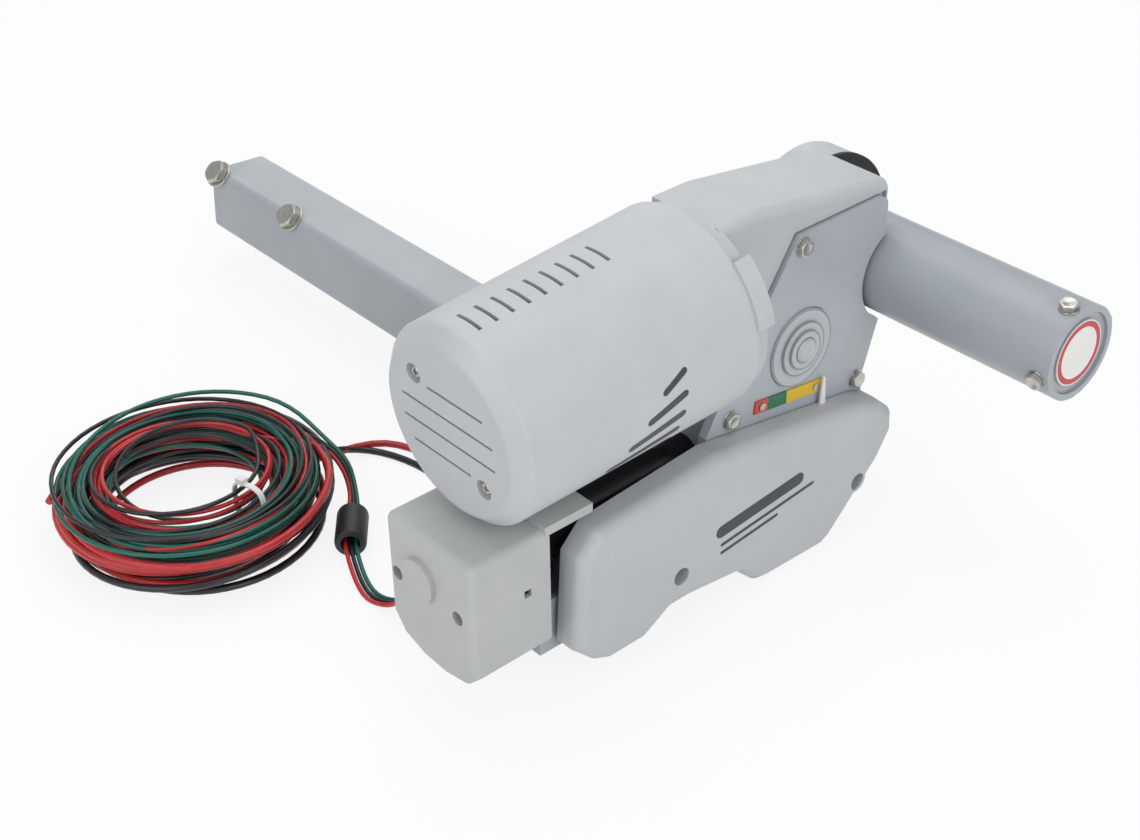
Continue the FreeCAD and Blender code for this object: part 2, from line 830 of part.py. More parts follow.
def motor_can():
    finish(motor_rod("MotorCan", "0", "motor_can_radius", "motor_can_length"), "drive_motor")


# Turning pieces
def worm_shaft():
    """The motor's shaft, with the worm over the worm wheel."""
    worm_middle = "(motor_y / cos(motor_tilt * 1deg))"
    thread = motor_rod("Worm", f"{worm_middle} - worm_length / 2", "worm_radius", "worm_length")
    stem = motor_rod("WormStem", f"{worm_middle} - worm_length / 2 - 6", "motor_shaft_radius",
                     f"-{worm_middle} + worm_length / 2 + 5")
    finish(join("WormShaft", [thread, stem]), "worm_shaft")


def gear_train():
    split = "housing_split - gasket_thickness"
    mesh = math.degrees(math.atan2(value("roller_z"), value("roller_y")))
    fit = value("seat_gap")
    pinion = gear_solid(int(value("pinion_teeth")), value("gear_module"), value("gear_width"),
                        value("layshaft_radius") + fit, value("gear_inner_face"), 0, 0, mesh, "X")
    finish(shape("DrivePinion", pinion), "drive_pinion")
    half_tooth = 180 / value("final_teeth")
    final = gear_solid(int(value("final_teeth")), value("gear_module"), value("gear_width"),
                       value("shaft_radius") + fit, value("gear_inner_face"), value("roller_y"),
                       value("roller_z"), mesh + 180 + half_tooth, "X")
    finish(shape("FinalGear", final), "final_gear")
    wheel_face = value("motor_x") - value("wheel_width") / 2
    wheel = gear_solid(int(value("wheel_teeth")), value("wheel_module"), value("wheel_width"),
                       value("layshaft_radius") + fit, wheel_face, 0, 0, 0, "X")
    finish(shape("WormWheel", wheel), "worm_wheel")
    finish(rod("Layshaft", "X", "housing_inner_face + housing_wall + seat_gap", "0", "0", "layshaft_radius",
               "-housing_inner_face - housing_wall - plate_thickness - 2 * seat_gap"), "layshaft")


def shaft_bearings():
    fit = "running_fit"
    rings = [
        tube("LayFront", "X", "-plate_thickness - 9", "0", "0", "layshaft_radius + 6",
             f"layshaft_radius + {fit}", "8"),
        tube("RollerFront", "X", "carrier_end - roller_bearing_width", "roller_y", "roller_z",
             "carrier_radius - carrier_wall - seat_gap", f"shaft_radius + {fit}", "roller_bearing_width"),
        tube("RollerRear", "X", "housing_split", "roller_y", "roller_z",
             "carrier_radius - carrier_wall - seat_gap", f"shaft_radius + {fit}", "roller_bearing_width")]
    finish(gather("ShaftBearings", rings), "shaft_bearings")


def bearing_carrier():
    """The fixed tube inside the roller that holds the roller shaft's bearings."""
    sleeve = rod("CarrierSleeve", "X", "housing_split - gasket_thickness", "roller_y", "roller_z",
                 "carrier_radius", "carrier_end - housing_split + gasket_thickness")
    flange = rod("CarrierFlange", "X", "housing_split - gasket_thickness", "roller_y", "roller_z",
                 "carrier_flange_radius", "gasket_thickness")
    bore = rod("CarrierBore", "X", "housing_split - gasket_thickness", "roller_y", "roller_z",
               "carrier_radius - carrier_wall", "carrier_end - housing_split + gasket_thickness")
    finish(cut("BearingCarrier", join("CarrierWhole", [sleeve, flange]), [bore]), "bearing_carrier")


def radial(item, angle):
    """Turn a piece about the roller's axis, at the place of the hub's bolts."""
    item.Placement = Placement(Vector(0, 0, 0), Rotation(ALONG_X, angle))
    return put(item, "radial_bolt_place", "roller_y", "roller_z")


def roller():
    """The roller's tube, the hub in its end, the four bolts through both, and the shaft."""
    holes = []
    seats = []
    bolts = []
    for angle in (12, 107, 190, 282):
        hole = rod("RadialHole", "Z", "0", "0", "0", "radial_bolt_radius + seat_gap", "roller_radius + 1")
        holes.append(radial(hole, angle))
        seat = rod("RadialSeat", "Z", "0", "0", "roller_radius - 0.6", "washer_radius + seat_gap", "2")
        seats.append(radial(gather("SeatTurned", [seat]), angle))
        head = nut("RadialHead", "Z", "0", "0", "roller_radius - 0.6 + washer_thickness", "radial_bolt_flats",
                   "radial_bolt_head")
        washer = rod("RadialWasher", "Z", "0", "0", "roller_radius - 0.6", "washer_radius", "washer_thickness")
        shank = rod("RadialShank", "Z", "0", "0", "roller_radius - roller_wall - 9", "radial_bolt_radius",
                    "roller_wall + 10")
        bolts.append(radial(join("RadialBolt", [head, washer, shank]), angle))
    finish(gather("RollerBolts", bolts), "roller_bolts")
    sleeve = tube("RollerSleeve", "X", "roller_start", "roller_y", "roller_z", "roller_radius",
                  "roller_radius - roller_wall", "roller_end - roller_start")
    finish(cut("RollerTube", sleeve, holes + seats), "roller_tube")
    hub_start = "roller_end - hub_recess - hub_thickness"
    disc = rod("HubDisc", "X", hub_start, "roller_y", "roller_z", "roller_radius - roller_wall - seat_gap",
               "hub_thickness")
    boss = rod("HubBoss", "X", hub_start, "roller_y", "roller_z", "hub_boss_radius",
               "hub_thickness + hub_boss_stand")
    bore = rod("HubBore", "X", hub_start, "roller_y", "roller_z", "shaft_radius + seat_gap", "hub_thickness - 4")
    finish(cut("RollerHub", join("HubWhole", [disc, boss]), [bore] + holes), "roller_hub")
    shaft_start = "housing_inner_face + housing_wall + seat_gap"
    finish(rod("RollerShaft", "X", shaft_start, "roller_y", "roller_z", "shaft_radius",
               f"roller_end - hub_recess - 4 - seat_gap - ({shaft_start})"), "roller_shaft")


# Fixed base
def base_channel():
    body = new_body("BaseChannel")
    sketch = sketch_on(body, "XZ_Plane", "-base_rear")
    polygon(sketch, [("base_inner_face", "base_bottom"),
                     ("base_outer_face", "base_bottom"),
                     ("base_outer_face", "outer_flange_top"),
                     ("base_outer_face - base_steel", "outer_flange_top"),
                     ("base_outer_face - base_steel", "base_bottom + base_steel"),
                     ("base_inner_face + base_steel", "base_bottom + base_steel"),
                     ("base_inner_face + base_steel", "inner_flange_top"),
                     ("base_inner_face", "inner_flange_top")])
    pad(body, sketch, "base_rear - box_rear - front_plate_steel")
    holes = [rod("FlangeHole", "X", "base_outer_face - base_steel - 1", y, z, "cover_screw_radius + seat_gap",
                 "base_steel + 2") for y, z in LOWER_SCREWS]
    finish(cut("ChannelCut", body, holes), "base_channel")


def base_front_plate():
    slab = bar("FrontSlab", "base_inner_face", "box_rear", "base_bottom",
               "base_outer_face - base_inner_face", "front_plate_steel", "front_plate_top - base_bottom")
    hole = rod("FrontHole", "Y", "actuator_x", "box_rear", "actuator_z", "actuator_radius + seat_gap",
               "front_plate_steel")
    finish(cut("FrontPlate", slab, [hole]), "base_front_plate")


def bush_blocks():
    bushes = []
    for node, start in (("bush_block_front", "front_block_start"), ("bush_block_rear", "rear_block_start")):
        block = bar("Block", "inner_plate_outer_face + block_side_gap", start, "base_bottom + base_steel",
                    "-plate_thickness - inner_plate_outer_face - 2 * block_side_gap", "block_length",
                    "block_top - base_bottom - base_steel")
        holes = []
        for x in ("rod_outer_x", "rod_inner_x"):
            holes.append(rod("BlockHole", "Y", x, start, "rod_level", "bush_radius", "block_length"))
            bushes.append(tube("Bush", "Y", x, start, "rod_level", "bush_radius - running_fit",
                               "rod_radius + running_fit", "block_length"))
        finish(cut("BushBlock", block, holes), node)
    finish(gather("Bushes", bushes), "guide_bushes")


def carriage_blocks():
    places = (("carriage_block_front", "carriage_front_start", "carriage_front_length", "carriage_front_top"),
              ("carriage_block_rear", "carriage_rear_start", "carriage_rear_length", "carriage_rear_top"))
    for node, start, length, top in places:
        block = bar("Carriage", "inner_plate_outer_face", start, "carriage_bottom",
                    "-plate_thickness - inner_plate_outer_face", length, f"{top} - carriage_bottom")
        tools = [rod("RodHole", "Y", x, start, "rod_level", "rod_radius + running_fit", length)
                 for x in ("rod_outer_x", "rod_inner_x")]
        if node == "carriage_block_front":
            tools.append(rod("PushSeat", "Y", "actuator_x", start, "actuator_z",
                             "push_radius + running_fit", "push_seat"))
        bolt = PLATE_BOLTS[2] if node == "carriage_block_front" else PLATE_BOLTS[1]
        tools.append(rod("BoltHole", "X", "-plate_thickness - 16", bolt[0], bolt[1],
                         "plate_bolt_radius + seat_gap", "16"))
        finish(cut("CarriageBlock", block, tools), node)
    end = "carriage_rear_start + carriage_rear_length"
    rods = [rod("Rod", "Y", x, "rod_start", "rod_level", "rod_radius", f"{end} - rod_start")
            for x in ("rod_outer_x", "rod_inner_x")]
    finish(gather("Rods", rods), "guide_rods")


# Actuator
def actuator():
    finish(tube("ActuatorTube", "Y", "actuator_x", "actuator_front", "actuator_z", "actuator_radius",
                "actuator_radius - actuator_wall", "actuator_end - actuator_front"), "actuator_tube")
    push = rod("PushOuter", "Y", "actuator_x", "push_start", "actuator_z", "push_radius",
               "carriage_front_start + push_seat - push_start")
    bore = rod("PushBore", "Y", "actuator_x", "push_start", "actuator_z", "push_bore",
               "carriage_front_start + push_seat - push_start")
    seat = rod("NutSeat", "Y", "actuator_x", "push_start", "actuator_z", "nut_radius + running_fit",
               "nut_length")
    finish(cut("PushTube", push, [bore, seat]), "push_tube")
    finish(tube("SpindleNut", "Y", "actuator_x", "push_start", "actuator_z", "nut_radius",
                "spindle_radius + running_fit", "nut_length"), "spindle_nut")
    finish(rod("Spindle", "Y", "actuator_x", "spindle_start", "actuator_z", "spindle_radius",
               "spindle_end - spindle_start"), "actuator_spindle")
    big = gear_solid(int(value("spindle_gear_teeth")), value("small_module"), value("small_gear_width"),
                     value("spindle_radius") + value("seat_gap"), value("actuator_x"),
                     value("small_gear_start"), value("actuator_z"), 180, "Y")
    finish(shape("SpindleGear", big), "spindle_gear")
    crank_x = value("actuator_x") - value("crank_offset")
    small = gear_solid(int(value("crank_gear_teeth")), value("small_module"), value("small_gear_width"),
                       value("crank_shaft_radius") - 0.5, crank_x, value("small_gear_start"),
                       value("actuator_z"), 180 / value("crank_gear_teeth"), "Y")
    shaft = Part.makeCylinder(value("crank_shaft_radius"),
                              value("small_gear_start") + value("small_gear_width") - value("small_motor_end")
                              - value("seat_gap"),
                              Vector(crank_x, value("small_motor_end") + value("seat_gap"), value("actuator_z")),
                              ALONG_Y)
    finish(shape("CrankPinion", small.fuse(shaft)), "crank_pinion")
    crank_axis = "actuator_x - crank_offset"
    finish(rod("SmallMotor", "Y", crank_axis, "small_motor_start", "actuator_z", "small_motor_radius",
               "small_motor_end - small_motor_start"), "actuator_motor")


def gear_case():
    """The small case in the control box that carries the spindle's front end."""
    start = "gearcase_start"
    length = "actuator_front - gearcase_start"
    outer = rod("CaseSpindle", "Y", "actuator_x", start, "actuator_z", "gearcase_radius + 4", length)
    other = rod("CaseCrank", "Y", "actuator_x - crank_offset", start, "actuator_z", "gearcase_radius", length)
    room = rod("CaseRoom", "Y", "actuator_x", "small_gear_start - 1", "actuator_z",
               "gearcase_radius - 1", "small_gear_width + 2")
    crank_room = rod("CrankRoom", "Y", "actuator_x - crank_offset", "small_gear_start - 1", "actuator_z",
                     "gearcase_radius - 5", "small_gear_width + 2")
    bearing = rod("CaseBearing", "Y", "actuator_x", start, "actuator_z", "spindle_radius + running_fit", length)
    crank = rod("CrankBearing", "Y", "actuator_x - crank_offset", start, "actuator_z",
                "crank_shaft_radius + running_fit", "small_gear_start - gearcase_start")
    finish(cut("GearCase", join("CaseWhole", [outer, other]), [room, crank_room, bearing, crank]),
           "actuator_gearcase")


# Control box
def box_outline(inset):
    """The box's outline in X and Z, or its inside when it is inset by the wall."""
    centre = "(box_inner_face + box_outer_face) / 2"
    return [(f"box_inner_face + {inset}", f"box_top - {inset}"),
            (f"box_outer_face - {inset}", f"box_top - {inset}"),
            (f"box_outer_face - {inset}", f"box_outer_corner + {inset} / 2"),
            (f"box_outer_face - 10 - {inset} / 2", f"box_belly + 3.5 + {inset}"),
            (f"{centre} + 10", f"box_belly + {inset}"),
            (f"{centre} - 10", f"box_belly + 1 + {inset}"),
            (f"box_inner_face + 10 + {inset} / 2", f"box_inner_corner - 12.5 + {inset}"),
            (f"box_inner_face + {inset}", f"box_inner_corner + {inset} / 2")]


def box_front_cap():
    body = new_body("BoxFront")
    outline = sketch_on(body, "XZ_Plane", "-box_seam")
    polygon(outline, box_outline("0"))
    block = pad(body, outline, "box_seam - box_front")
    front = value("box_front")
    seam = value("box_seam")
    rounded = fillet(body, block, "box_round", lambda edge: runs_along(edge, ALONG_Y)
                     and middle(edge).z > value("box_top") - 1)
    rounded = fillet(body, rounded, "box_round", lambda edge: edge.BoundBox.YMax < front + 0.01)
    room = sketch_on(body, "XZ_Plane", "-box_seam")
    polygon(room, box_outline("box_wall"))
    pocket(body, room, "box_seam - box_front - box_wall")
    wells = sketch_on(body, "XZ_Plane", "-box_front - box_wall")
    for x in ("box_screw_inner", "box_screw_outer"):
        circle(wells, x, "box_screw_level", "box_screw_well")
    circle(wells, "actuator_x - crank_offset", "actuator_z", "plug_radius - 2")
    pocket(body, wells, "box_wall")
    pillars = []
    for x in ("box_screw_inner", "box_screw_outer"):
        pillars.append(tube("BoxPillar", "Y", x, "box_front + box_wall", "box_screw_level",
                            "box_screw_well + 2", "box_screw_well", "12"))
        pillars.append(tube("BoxPillarFoot", "Y", x, "box_front + box_wall + 12", "box_screw_level",
                            "box_screw_well + 2", "plate_bolt_radius + seat_gap", "box_seam - box_front - box_wall - 12"))
    finish(join("BoxFrontWhole", [body] + pillars), "box_front_cap")


def box_rear_shell():
    body = new_body("BoxRear")
    outline = sketch_on(body, "XZ_Plane", "-box_rear")
    polygon(outline, box_outline("0"))
    block = pad(body, outline, "box_rear - box_seam")
    fillet(body, block, "box_round", lambda edge: runs_along(edge, ALONG_Y)
           and middle(edge).z > value("box_top") - 1)
    room = sketch_on(body, "XZ_Plane", "-box_rear + box_wall")
    polygon(room, box_outline("box_wall"))
    pocket(body, room, "box_rear - box_wall - box_seam")
    passage = sketch_on(body, "XZ_Plane", "-box_rear")
    circle(passage, "actuator_x", "actuator_z", "actuator_radius + seat_gap")
    pocket(body, passage, "box_wall")
    ledge = bar("BoxLedge", "ledge_inner_face", "box_rear - 3", "box_top - 3",
                "box_outer_face - ledge_inner_face", "ledge_rear - box_rear + 3", "ledge_height")
    lock = bar("LockHole", "box_outer_face - box_wall - 1", "lock_hole_y - lock_hole / 2",
               "lock_hole_z - lock_hole / 2", "box_wall + 2", "lock_hole", "lock_hole")
    finish(cut("BoxRearCut", join("BoxRearWhole", [body, ledge]), [lock]), "box_rear_shell")


def crank_plug():
    plug = rod("PlugHead", "Y", "actuator_x - crank_offset", "box_front - plug_stand", "actuator_z",
               "plug_radius", "plug_stand")
    neck = rod("PlugNeck", "Y", "actuator_x - crank_offset", "box_front - 0.5", "actuator_z",
               "plug_radius - 2 - seat_gap", "box_wall + 1")
    finish(join("CrankPlug", [plug, neck]), "crank_plug")


def cover_screws():
    """Two screws in the box's wells and two in the lower cover's."""
    screws = []
    for x in ("box_screw_inner", "box_screw_outer"):
        head = rod("BoxScrewHead", "Y", x, "box_front + 12", "box_screw_level",
                   "box_screw_well - seat_gap", "3")
        shank = rod("BoxScrewShank", "Y", x, "box_front + 14", "box_screw_level", "plate_bolt_radius",
                    "box_seam - box_front - 14")
        screws.append(join("BoxScrew", [head, shank]))
    for y, z in LOWER_SCREWS:
        head = rod("CoverScrewHead", "X", "lower_inner_face + 5", y, z, "cover_screw_well - seat_gap", "3")
        shank = rod("CoverScrewShank", "X", "base_outer_face - base_steel - 2", y, z, "cover_screw_radius",
                    "lower_inner_face - base_outer_face + base_steel + 8")
        screws.append(join("CoverScrew", [head, shank]))
    finish(gather("CoverScrews", screws), "cover_screws")


LOWER_SCREWS = [("cover_screw_front_y", "cover_screw_front_z"), ("cover_screw_rear_y", "cover_screw_rear_z")]


# Lower cover
def lower_outline():
    """The lower cover's outline in Y and Z, with its raised skid, its arch and its foot."""
    return [("lower_nose", "lower_skid + 20"),
            ("lower_nose + 15", "lower_skid + 5"),
            ("lower_nose + 26", "lower_skid"),
            ("lower_nose + 54", "lower_skid"),
            ("lower_nose + 75", "lower_arch"),
            ("lower_nose + 90", "lower_arch"),
            ("lower_nose + 134", "lower_arch - 5.5"),
            ("lower_nose + 150", "lower_foot + 3"),
            ("lower_nose + 159", "lower_foot + 1.5"),
            ("lower_nose + 210", "lower_foot"),
            ("lower_nose + 218", "lower_foot + 4"),
            ("lower_tail - 12", "lower_foot + 45"),
            ("lower_tail", "lower_foot + 64"),
            ("lower_tail - 1.3", "lower_foot + 79"),
            ("lower_tail - 15", "lower_top - 25"),
            ("lower_tail - 29", "lower_top - 21"),
            ("lower_tail - 153", "lower_top - 0.5"),
            ("lower_tail - 161", "lower_top + 1"),
            ("lower_nose + 18", "lower_top - 6"),
            ("lower_nose + 4", "lower_top - 20")]


def lower_body(name, start, width):
    body = new_body(name)
    sketch = sketch_on(body, "YZ_Plane", start)
    polygon(sketch, lower_outline())
    return body, sketch, pad(body, sketch, width)


def lower_cover():
    body, sketch, block = lower_body("LowerCover", "lower_inner_face", "lower_outer_face - lower_inner_face")
    face = value("lower_outer_face")
    rounded = fillet(body, block, "lower_corner", lambda edge: runs_along(edge, ALONG_X))
    fillet(body, rounded, "lower_round", lambda edge: edge.BoundBox.XMin > face - 0.01)
    inside, inside_sketch, room = lower_body("LowerInside", "lower_inner_face",
                                             "lower_outer_face - lower_inner_face - lower_wall")
    offset = doc.addObject("Part::Offset2D", "InnerOutline")
    offset.Source = inside_sketch
    offset.Join = "Intersection"
    bind(offset, "Value", "-lower_wall")
    hollow = doc.addObject("Part::Extrusion", "InnerRoom")
    hollow.Base = offset
    hollow.DirMode = "Custom"
    hollow.Dir = ALONG_X
    hollow.Solid = True
    bind(hollow, "LengthFwd", "lower_outer_face - lower_inner_face - lower_wall")
    shell = cut("LowerShell", body, [hollow])
    pillars = []
    wells = []
    for y, z in LOWER_SCREWS:
        pillars.append(rod("CoverPillar", "X", "base_outer_face", y, z, "cover_screw_well + pillar_wall",
                           "lower_outer_face - base_outer_face - 1"))
        wells.append(rod("CoverWell", "X", "lower_inner_face + 5", y, z, "cover_screw_well", "30"))
        wells.append(rod("CoverWellFoot", "X", "base_outer_face - 1", y, z, "cover_screw_radius + seat_gap", "30"))
    finish(cut("LowerCoverCut", join("LowerCoverWhole", [shell] + pillars), wells), "lower_cover")


def pointer():
    """A pale blade that stands on the lower cover's rim in front of the position strip."""
    body = new_body("Pointer")
    sketch = sketch_on(body, "YZ_Plane", "pointer_stand")
    rim = "lower_top - 0.5 - 20.5 * (pointer_place - lower_tail + 153) / 124"
    polygon(sketch, [("pointer_place - pointer_width / 2", f"{rim} + pointer_width / 2 * 20.5 / 124 + seat_gap"),
                     ("pointer_place + pointer_width / 2", f"{rim} - pointer_width / 2 * 20.5 / 124 + seat_gap"),
                     ("pointer_place + 0.8", "pointer_tip"),
                     ("pointer_place - 0.8", "pointer_tip")])
    pad(body, sketch, "pointer_thickness")
    finish(body, "pointer")


# Cross tube and its clamp bolts
def cross_tube():
    body = new_body("CrossTube")
    length = "base_inner_face - tube_end"
    half = "tube_side / 2"
    outline = sketch_on(body, "YZ_Plane", "0")
    polygon(outline, [(f"-{half}", f"-{half}"), (half, f"-{half}"), (half, half), (f"-{half}", half)])
    block = pad(body, outline, length)
    fillet(body, block, "tube_round", lambda edge: runs_along(edge, ALONG_X))
    inner = f"({half} - tube_wall)"
    bore = sketch_on(body, "YZ_Plane", "0")
    polygon(bore, [(f"-{inner}", f"-{inner}"), (inner, f"-{inner}"), (inner, inner), (f"-{inner}", inner)])
    pocket(body, bore, length)
    holes = []
    for place in range(2):
        hole = rod("ClampHole", "Z", f"clamp_outer_x - tube_end + {place} * clamp_spacing", "0", "0",
                   "clamp_bolt_radius + seat_gap", "tube_side")
        hole.Placement = Placement(Vector(0, 0, 0), Rotation(ALONG_X, 45))
        put_again = f"clamp_outer_x - tube_end + {place} * clamp_spacing"
        bind(hole, "Placement.Base.x", put_again)
        holes.append(hole)
    tube_cut = cut("CrossTubeCut", body, holes)
    tube_cut.Placement = Placement(Vector(0, 0, 0), Rotation(ALONG_X, -value("tube_roll")))
    finish(put(tube_cut, "tube_end", "tube_y", "tube_z"), "cross_tube")


def clamp_bolts():
    """Two set bolts that screw through the tube's corner onto the bar inside it."""
    corner = "((tube_side / 2 - tube_round) * sqrt(2) + tube_round)"
    bolts = []
    for place in range(2):
        x = f"clamp_outer_x + {place} * clamp_spacing"
        washer = rod("ClampWasher", "Z", "0", "0", corner, "clamp_washer_radius", "clamp_washer_thickness")
        head = nut("ClampHead", "Z", "0", "0", f"{corner} + clamp_washer_thickness", "clamp_bolt_flats",
                   "clamp_bolt_head")
        shank = rod("ClampShank", "Z", "0", "0", f"{corner} - clamp_bolt_length", "clamp_bolt_radius",
                    "clamp_bolt_length + 1")
        bolt = join("ClampBolt", [washer, head, shank])
        bolt.Placement = Placement(Vector(0, 0, 0), Rotation(ALONG_X, 45 - value("tube_roll")))
        bind(bolt, "Placement.Base.x", x)
        bind(bolt, "Placement.Base.y", "tube_y")
        bind(bolt, "Placement.Base.z", "tube_z")
        bolts.append(bolt)
    finish(gather("ClampBolts", bolts), "clamp_bolts")


# Cables
def cord_solid(name, route, diameter):
    """A cable along straight runs joined by arcs that touch them."""
    points = [Vector(*point) for point in route]
    edges = []
    radii = []
    here = points[0]
    for before, corner, after in zip(points, points[1:], points[2:]):
        back = (before - corner).normalize()
        ahead = (after - corner).normalize()
        half = (math.pi - back.getAngle(ahead)) / 2
        reach = 0.45 * min(before.distanceToPoint(corner), after.distanceToPoint(corner))
        radius = reach / math.tan(half)
        radii.append(radius)
        first = corner + back * reach
        last = corner + ahead * reach
        centre = corner + (back + ahead).normalize() * (radius / math.cos(half))
        nearest = centre + (corner - centre).normalize() * radius
        edges.append(Part.LineSegment(here, first).toShape())
        edges.append(Part.Arc(first, nearest, last).toShape())
        here = last
    edges.append(Part.LineSegment(here, points[-1]).toShape())
    path = Part.Wire(edges)
    start = (points[1] - points[0]).normalize()
    section = Part.Wire([Part.makeCircle(diameter / 2, points[0], start)])
    solid = path.makePipeShell([section], True, False)
    expected = math.pi * (diameter / 2) ** 2 * path.Length
    print(name, "length", round(path.Length), "smallest radius", round(min(radii), 1), "volume ratio",
          round(solid.Volume / expected, 3))
    return solid


def on_floor(diameter):
    return value("lower_foot") + diameter / 2


def power_leads():
    """The two thick leads from the gland on the base, under the motor, to the coil."""
    level = on_floor(value("lead_diameter"))
    exit_x = value("base_inner_face") - value("gland_length")
    for node, shift, side in (("lead_red", 4, 0), ("lead_black", -4, 12)):
        y = value("gland_y") + shift
        z = value("gland_z")
        route = [(exit_x, y, z), (exit_x - 18, y, z), (exit_x - 34, y + 2, z - 14), (exit_x - 50, y + 4, level + 3),
                 (exit_x - 80, y + 8, level), (exit_x - 120, y + 11 - side / 3, level),
                 (exit_x - 165, y + 9 - side / 2, level), (exit_x - 198, y - 8 - side / 2, level),
                 (exit_x - 214 + side / 2, y - 34, level), (exit_x - 212 + side / 2, y - 60 + side / 4, level)]
        finish(shape(node, cord_solid(node, route, value("lead_diameter"))), node)


def thin_wires():
    """The three thin wires from the control box, through the ferrite, to the coil."""
    level = on_floor(value("wire_diameter"))
    exit_x = value("box_inner_face") - value("grommet_length") / 2
    for node, lane in (("wire_red", -1), ("wire_black", 0), ("wire_green", 1)):
        y = value("wire_exit_y") + 3.6 * lane
        z = value("wire_exit_z")
        core = value("ferrite_x")
        core_y = value("ferrite_y") + 3.6 * lane
        route = [(exit_x, y, z), (exit_x - 12, y, z), (exit_x - 25, y, z - 16), (exit_x - 36, y + 1, level + 8),
                 (exit_x - 54, y + 3, level), (core + 22, core_y - 2, level + 4.5), (core, core_y, level + 5),
                 (core - 18, core_y - 1, level + 4.5), (core - 30, core_y - 9, level + 8)]
        finish(shape(node, cord_solid(node, route, value("wire_diameter"))), node)


def coils():
    """The wound leads, as one ring on the ground, and the wound thin wires, as a smaller one on top."""
    for node, outer, inner, height, level in (
            ("cable_coil", "coil_outer_radius", "coil_inner_radius", "coil_height", "lower_foot"),
            ("wire_hank", "hank_outer_radius", "hank_inner_radius", "hank_height", "lower_foot + coil_height")):
        ring = new_body(node)
        sketch = sketch_on(ring, "XZ_Plane", "0")
        round_off = f"{height} / 4"
        polygon(sketch, [(f"{inner} + {round_off}", "0"), (f"{outer} - {round_off}", "0"),
                         (outer, round_off), (outer, f"{height} - {round_off}"),
                         (f"{outer} - {round_off}", height), (f"{inner} + {round_off}", height),
                         (inner, f"{height} - {round_off}"), (inner, round_off)])
        revolve(ring, sketch)
        finish(put(ring, "coil_x", "coil_y", level), node)


def cable_fittings():
    finish(rod("GlandStem", "X", "base_inner_face - gland_length", "gland_y", "gland_z", "gland_radius",
               "gland_length"), "cable_gland")
    finish(rod("Grommet", "X", "box_inner_face - grommet_length / 2", "wire_exit_y", "wire_exit_z",
               "grommet_radius", "grommet_length / 2"), "wire_grommet")
    block = rod("FerriteBody", "X", "ferrite_x - ferrite_length / 2", "ferrite_y",
                "lower_foot + ferrite_height / 2", "ferrite_height / 2", "ferrite_length")
    bore = bar("FerriteBore", "ferrite_x - ferrite_length / 2 - 1", "ferrite_y - ferrite_bore / 2",
               "lower_foot + 4", "ferrite_length + 2", "ferrite_bore", "ferrite_bore")
    finish(cut("Ferrite", block, [bore]), "ferrite_core")


def cable_tie():
    """A strap over the wound thin wires, with its two ends on the coil."""
    outer = bar("TieOuter", "coil_x + hank_inner_radius - tie_thickness", "coil_y - tie_width / 2",
                "lower_foot + coil_height", "hank_outer_radius - hank_inner_radius + 2 * tie_thickness",
                "tie_width", "hank_height + tie_thickness")
    inner = bar("TieInner", "coil_x + hank_inner_radius - seat_gap", "coil_y - tie_width / 2 - 1",
                "lower_foot + coil_height - 1", "hank_outer_radius - hank_inner_radius + 2 * seat_gap",
                "tie_width + 2", "hank_height + 1 + seat_gap")
    finish(cut("CableTie", outer, [inner]), "cable_tie")


for make in (side_plate, plate_bolts, inner_plate, bearing_cap, indicator_strip, gear_housing_front,
             gear_housing_rear, housing_gasket, motor_cover, cap_screws, motor_can, worm_shaft, gear_train,
             shaft_bearings, bearing_carrier, roller, base_channel, base_front_plate, bush_blocks,
             carriage_blocks, actuator, gear_case, box_front_cap, box_rear_shell, crank_plug, cover_screws,
             lower_cover, pointer, cross_tube, clamp_bolts, power_leads, thin_wires, coils, cable_fittings, cable_tie):
    make()

doc.recompute()

failed = [item.Name for item in doc.Objects if "Invalid" in item.State or "Error" in item.State]
if failed:
    raise RuntimeError(f"these did not build: {failed}")

for item in finished:
    if item.Shape.isNull() or not item.Shape.isValid():
        raise RuntimeError(f"{item.Label} has no valid shape")

whole = FreeCAD.BoundBox()
for item in finished:
    whole.add(item.Shape.BoundBox)
    item.Shape.exportStep(f"parts/{item.Label}.step")

print(len(finished), "sub-parts", whole)
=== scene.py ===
# %% [markdown]
# # A caravan motor mover
#
# The object is an electric drive unit that clamps under a caravan and presses a roller against its tyre.
# Its rigid pieces come from a imported frame at their real size and place. This script gives them their
# finishes, and adds what a frame can't hold well: wound cables, screw heads, prints and painted shade.
# The frame is loaded first, because every place below is worked out from it.

# %% Load the frame
import json
import math
import random

import bmesh
import bpy
from mathutils import Matrix, Vector


